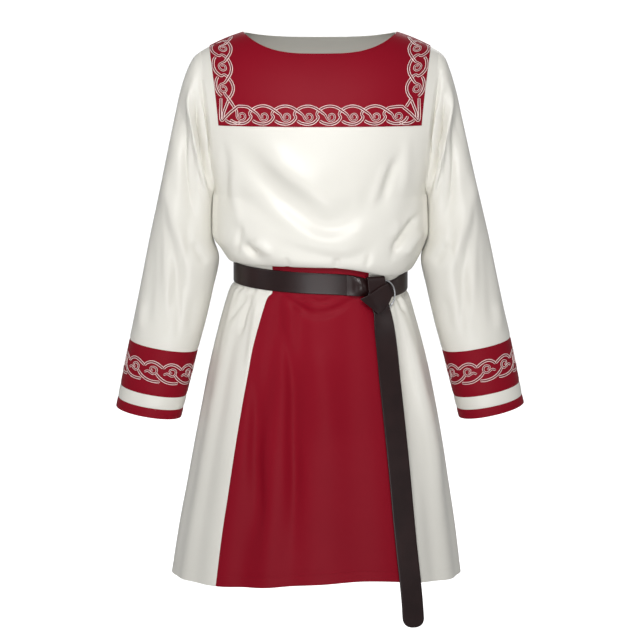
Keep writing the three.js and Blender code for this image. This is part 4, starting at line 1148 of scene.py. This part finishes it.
panel_ends = np.searchsorted(front_columns, (-PANEL_COLUMN, PANEL_COLUMN))
front_stitches = stitched(
    "front_stitches",
    WHITE,
    beside_edge(HEM_DEPTH, *columns_of(front_face, 0, panel_ends[0])),
    beside_edge(HEM_DEPTH, *columns_of(front_face, panel_ends[1], None)),
)
panel_line = beside_edge(HEM_DEPTH, *columns_of(front_face, *panel_ends))
panel_stitches = stitched("skirt_panel_stitches", RED, panel_line)
inside_neck = columns_of((back_inner, -back_normal), *neck_of(back_columns))
back_stitches = stitched(
    "back_stitches",
    WHITE,
    beside_edge(HEM_DEPTH, back_outer, back_normal),
    beside_edge(BACK_NECK_LINE, *upside_down(inside_neck)),
)
yoke_side = [np.swapaxes(grid, 0, 1) for grid in yoke_face]
yoke_stitches = stitched(
    "yoke_stitches",
    RED,
    beside_edge(CLOSE_TO_EDGE, *yoke_face),
    beside_edge(CLOSE_TO_EDGE, *yoke_side),
    beside_edge(CLOSE_TO_EDGE, *upside_down(yoke_side)),
    beside_edge(HEMMED_EDGE, *upside_down(columns_of(yoke_face, *neck_of(yoke_columns)))),
)
cuff_stitches = {}
for hand, surface in sleeve_surfaces.items():
    whole = [once_round(grid) for grid in surface[:2]]
    below_band_top = [grid[SLEEVE_RINGS >= BAND_TOP - 1e-6] for grid in whole]
    for name, line in (
        ("cuff_edge", beside_edge(HEMMED_EDGE, *whole)),
        ("cuff_band", beside_edge(BAND_LINE, *upside_down(below_band_top))),
    ):
        cuff_stitches[name, hand] = stitched(f"{name}_stitches_{hand}", RED, line)


# Belt

def waist_frame(angle):
    """The waist under the belt at an angle, and its outward direction."""
    depth = np.where(np.cos(angle) > 0, BODY["front"][BELT_TOP], BODY["back"][BELT_TOP])
    x, y, out = superellipse(angle, BODY["half"][BELT_TOP], depth)
    return np.stack([x + BODY["shift"][BELT_TOP], y, BELT_Z + belt_tilt(angle)], -1), out


FACE_POINTS, EDGE_POINTS = 17, 6


def strap_section():
    """The outline of a strap's section, as three rows of shares: of its flat half width, and of its
    half thickness sideways and outwards. Two flat faces are joined by half circles."""
    flat = np.linspace(-1, 1, FACE_POINTS)
    turn = np.linspace(0, np.pi, EDGE_POINTS + 2)[1:-1]
    none, end = 0 * flat, np.ones(EDGE_POINTS)
    across = np.concatenate([flat, end, -flat, -end])
    sideways = np.concatenate([none, np.sin(turn), none, -np.sin(turn)])
    outwards = np.concatenate([none + 1, np.cos(turn), none - 1, -np.cos(turn)])
    return across, sideways, outwards


def strap(node, start, end, out=None, belly=0.0, leather=LEATHER):
    """A leather strap through lines across it, each from a start to an end. Its section has flat
    faces and round edges, bulged outwards by belly in the middle, and both of its ends are closed.
    Its outward direction is forwards crossed with across where none is given."""
    middle, across = (start + end) / 2, unit(end - start)
    if out is None:
        out = unit(np.cross(np.gradient(middle, axis=0), -across))
    half = np.linalg.norm(end - start, axis=-1)[:, None] / 2
    flat, sideways, outwards = strap_section()
    thick, belly = (np.broadcast_to(np.reshape(v, (-1, 1)), half.shape) for v in (leather, belly))
    reach = (half - thick / 2) * flat + thick / 2 * sideways
    rise = thick / 2 * outwards + belly * (1 - flat**2)
    points = middle[:, None] + reach[..., None] * across[:, None] + rise[..., None] * out[:, None]
    quads = inside_out(tube_faces(*reach.shape, -(EDGE_POINTS // 2)))
    uv = np.stack([np.broadcast_to(path_length(middle, 0)[:, None], reach.shape), reach], -1)
    piece = make_mesh(f"{node}_leather", points.reshape(-1, 3), quads, uv.reshape(-1, 2))
    return dress(piece, LEATHER_BROWN, node)


def smooth_rows(columns, count=8):
    """Columns of a table resampled smoothly with count steps between its rows."""
    last = len(columns[0]) - 1
    at = np.linspace(0, last, last * count + 1)
    return [track(values, at) for values in columns]


angle = np.radians(np.linspace(STRAP_START, STRAP_END, 260))
middle, out = waist_frame(angle)
from_start, from_end = np.degrees(angle) - STRAP_START, STRAP_END - np.degrees(angle)
widening = np.minimum(from_start / WIDENING_FROM_START, from_end / WIDENING_FROM_END)
half = mix(BELT_HALF_AT_RING, BELT_HALF_WIDTH, ease(widening))[:, None]
middle = middle + out * (LAYER_GAP + LEATHER / 2)
up = np.array([0, 0, 1.0])
strap("belt_strap", middle + up * half, middle - up * half, out)

ring_seat, ring_out = waist_frame(np.radians(float(RING_ANGLE)))
ring_seat = ring_seat - (0, 0, RING_DROP)
ring_along = np.array([-ring_out[1], ring_out[0], 0])


def by_ring(along, height, out):
    """A point in the ring's own frame, from its centre."""
    along, height, out = (np.asarray(value, float)[..., None] for value in (along, height, out))
    return ring_seat + along * ring_along + height * up + out * ring_out


def wire_ring():
    """A torus: a round wire carried round the ring's circle."""
    ring, wire = np.meshgrid(
        np.linspace(0, 2 * np.pi, 121)[:-1], np.linspace(0, 2 * np.pi, 25)[:-1], indexing="ij"
    )
    reach = RING_RADIUS + RING_WIRE * np.cos(wire)
    points = by_ring(reach * np.cos(ring), reach * np.sin(ring), RING_OUT + RING_WIRE * np.sin(wire))
    index = np.arange(ring.size).reshape(ring.shape)
    on = np.roll(index, -1, 0)
    quads = np.stack([index, on, np.roll(on, -1, 1), np.roll(index, -1, 1)], -1).reshape(-1, 4)
    uv = np.stack([RING_RADIUS * ring, RING_WIRE * wire], -1).reshape(-1, 2)
    return make_mesh("belt_ring_steel", points.reshape(-1, 3), quads, uv)


dress(wire_ring(), STEEL, "belt_ring")
along0, up0, along1, up1, reach, belly, leather = smooth_rows([*LOOP.values()])
strap("belt_loop", by_ring(along0, up0, reach), by_ring(along1, up1, reach), None, belly, leather)
wrap = smooth_rows([*WRAP.values()])
strap("belt_wrap", by_ring(*wrap[:3]), by_ring(*wrap[3:]))


def skirt_front(x, z):
    """How far forward the skirt reaches in the front view, without its flutes."""
    upwards = slice(HEM, HIP - 2, -1)
    heights = BODY["z"][upwards]
    shift, half, depth = (np.interp(z, heights, BODY[key][upwards]) for key in ("shift", "half", "front"))
    across = np.minimum(1, np.abs(x - shift) / half)
    return -depth * (1 - across**BODY_SQUARENESS) ** (1 / BODY_SQUARENESS)


def tail_lines():
    """Lines across the hanging end: its fold in the ring's frame, then its fall before the skirt,
    each line clear of the skirt's foremost point behind it."""
    along, height, reach = TAIL_FOLD.values()
    fold = [by_ring(along + side * BELT_HALF_WIDTH, height, reach) for side in (1, -1)]
    x, z, turn, half = TAIL_HANG.values()
    aside, back = np.cos(np.radians(turn)), np.sin(np.radians(turn))
    reach = [skirt_front(x + s * aside, z) - s * back for s in (-19, -9, 0, 9, 19)]
    y = np.min(reach, axis=0) - LEATHER / 2 - TAIL_CLEARANCE
    hang = [np.stack([x + e * half * aside, y + e * half * back, z], -1) for e in (1, -1)]
    return [np.concatenate(lines) for lines in zip(fold, hang)]


strap("belt_tail", *(np.stack(smooth_rows(line.T), -1) for line in tail_lines()))


# Camera, floor and lights

def in_scene(name, data):
    """An object made of its data and linked to the scene."""
    made = bpy.data.objects.new(name, data)
    bpy.context.scene.collection.objects.link(made)
    return made


ELEVATION, DISTANCE, VIEW_WIDTH, TARGET_Z, SENSOR = 8, 5.0, 1.1136, -0.482, 36
tilt = math.radians(ELEVATION)
camera = in_scene("camera", bpy.data.cameras.new("camera"))
camera.data.sensor_width = SENSOR
camera.data.lens = SENSOR * DISTANCE / VIEW_WIDTH
camera.location = (0, -DISTANCE * math.cos(tilt), TARGET_Z + DISTANCE * math.sin(tilt))
camera.rotation_euler = (math.pi / 2 - tilt, 0, 0)
bpy.context.scene.camera = camera

FLOOR_Z, FLOOR_HALF = -1.35, 400
floor = in_scene("floor", bpy.data.meshes.new("floor"))
corners = [(x * FLOOR_HALF, y * FLOOR_HALF, FLOOR_Z) for x, y in ((-1, -1), (1, -1), (1, 1), (-1, 1))]
floor.data.from_pydata(corners, [], [(0, 1, 2, 3)])
pale_floor = Finish(
    "pale_floor",
    Base_Color=(0.8, 0.8, 0.8, 1),
    Roughness=0.9,
    Emission_Color=(1, 1, 1, 1),
    Emission_Strength=0.9,
)
floor.data.materials.append(pale_floor.material)
floor.visible_diffuse = False
floor.visible_glossy = False

# A white backdrop that lights the room softly
STUDIO_GLOW = 0.37
world = bpy.data.worlds.new("studio")
world.use_nodes = True
nodes, links = world.node_tree.nodes, world.node_tree.links
nodes["Background"].inputs["Color"].default_value = (1, 1, 1, 1)
seen, glow = nodes.new("ShaderNodeLightPath"), nodes.new("ShaderNodeMapRange")
glow.inputs["To Min"].default_value = STUDIO_GLOW
glow.inputs["To Max"].default_value = 1.0
links.new(seen.outputs["Is Camera Ray"], glow.inputs["Value"])
links.new(glow.outputs["Result"], nodes["Background"].inputs["Strength"])
bpy.context.scene.world = world


def area_light(name, place, target, size, power, spread=180):
    """A square soft light at a place, turned to face a target, with its light held within a spread."""
    lamp = in_scene(name, bpy.data.lights.new(name, "AREA"))
    lamp.data.spread = math.radians(spread)
    lamp.data.size = size
    lamp.data.energy = power
    lamp.location = place
    lamp.rotation_euler = (Vector(target) - Vector(place)).to_track_quat("-Z", "Y").to_euler()


area_light("key_light", (-0.08, -1.7, 0.65), (-0.01, 0, -0.24), 0.45, 1.55, 50)
area_light("side_light_left", (1.7, -1.1, -0.1), (0, 0, -0.6), 0.7, 2)
area_light("side_light_right", (-1.7, -1.1, -0.1), (0, 0, -0.6), 0.7, 3.5)
area_light("fill_light", (0, -2.2, -1.05), (0, 0, -0.95), 0.8, 5, 100)
area_light("back_light", (0.4, 3, 1.6), (0, 0, -0.5), 2.4, 40)
bpy.context.scene.view_settings.view_transform = "Standard"

# The sheets of cloth, each by what shows of its cut: width, length and area before it was made up
CUFF_CUTS = {
    "sleeve": ((0.588, 0.513), 0.155),
    "cuff_band": ((0.37, 0.0845), 0.0301),
    "cuff_stripe": ((0.356, 0.0248), 0.0086),
    "cuff_edge": ((0.352, 0.0192), 0.0064),
}
for hand in ("left", "right"):
    for name, (flat, area) in CUFF_CUTS.items():
        sewn = [cuff_stitches[name, hand]] if (name, hand) in cuff_stitches else []
        if name == "cuff_band":
            sewn.append(cuff_borders[hand])
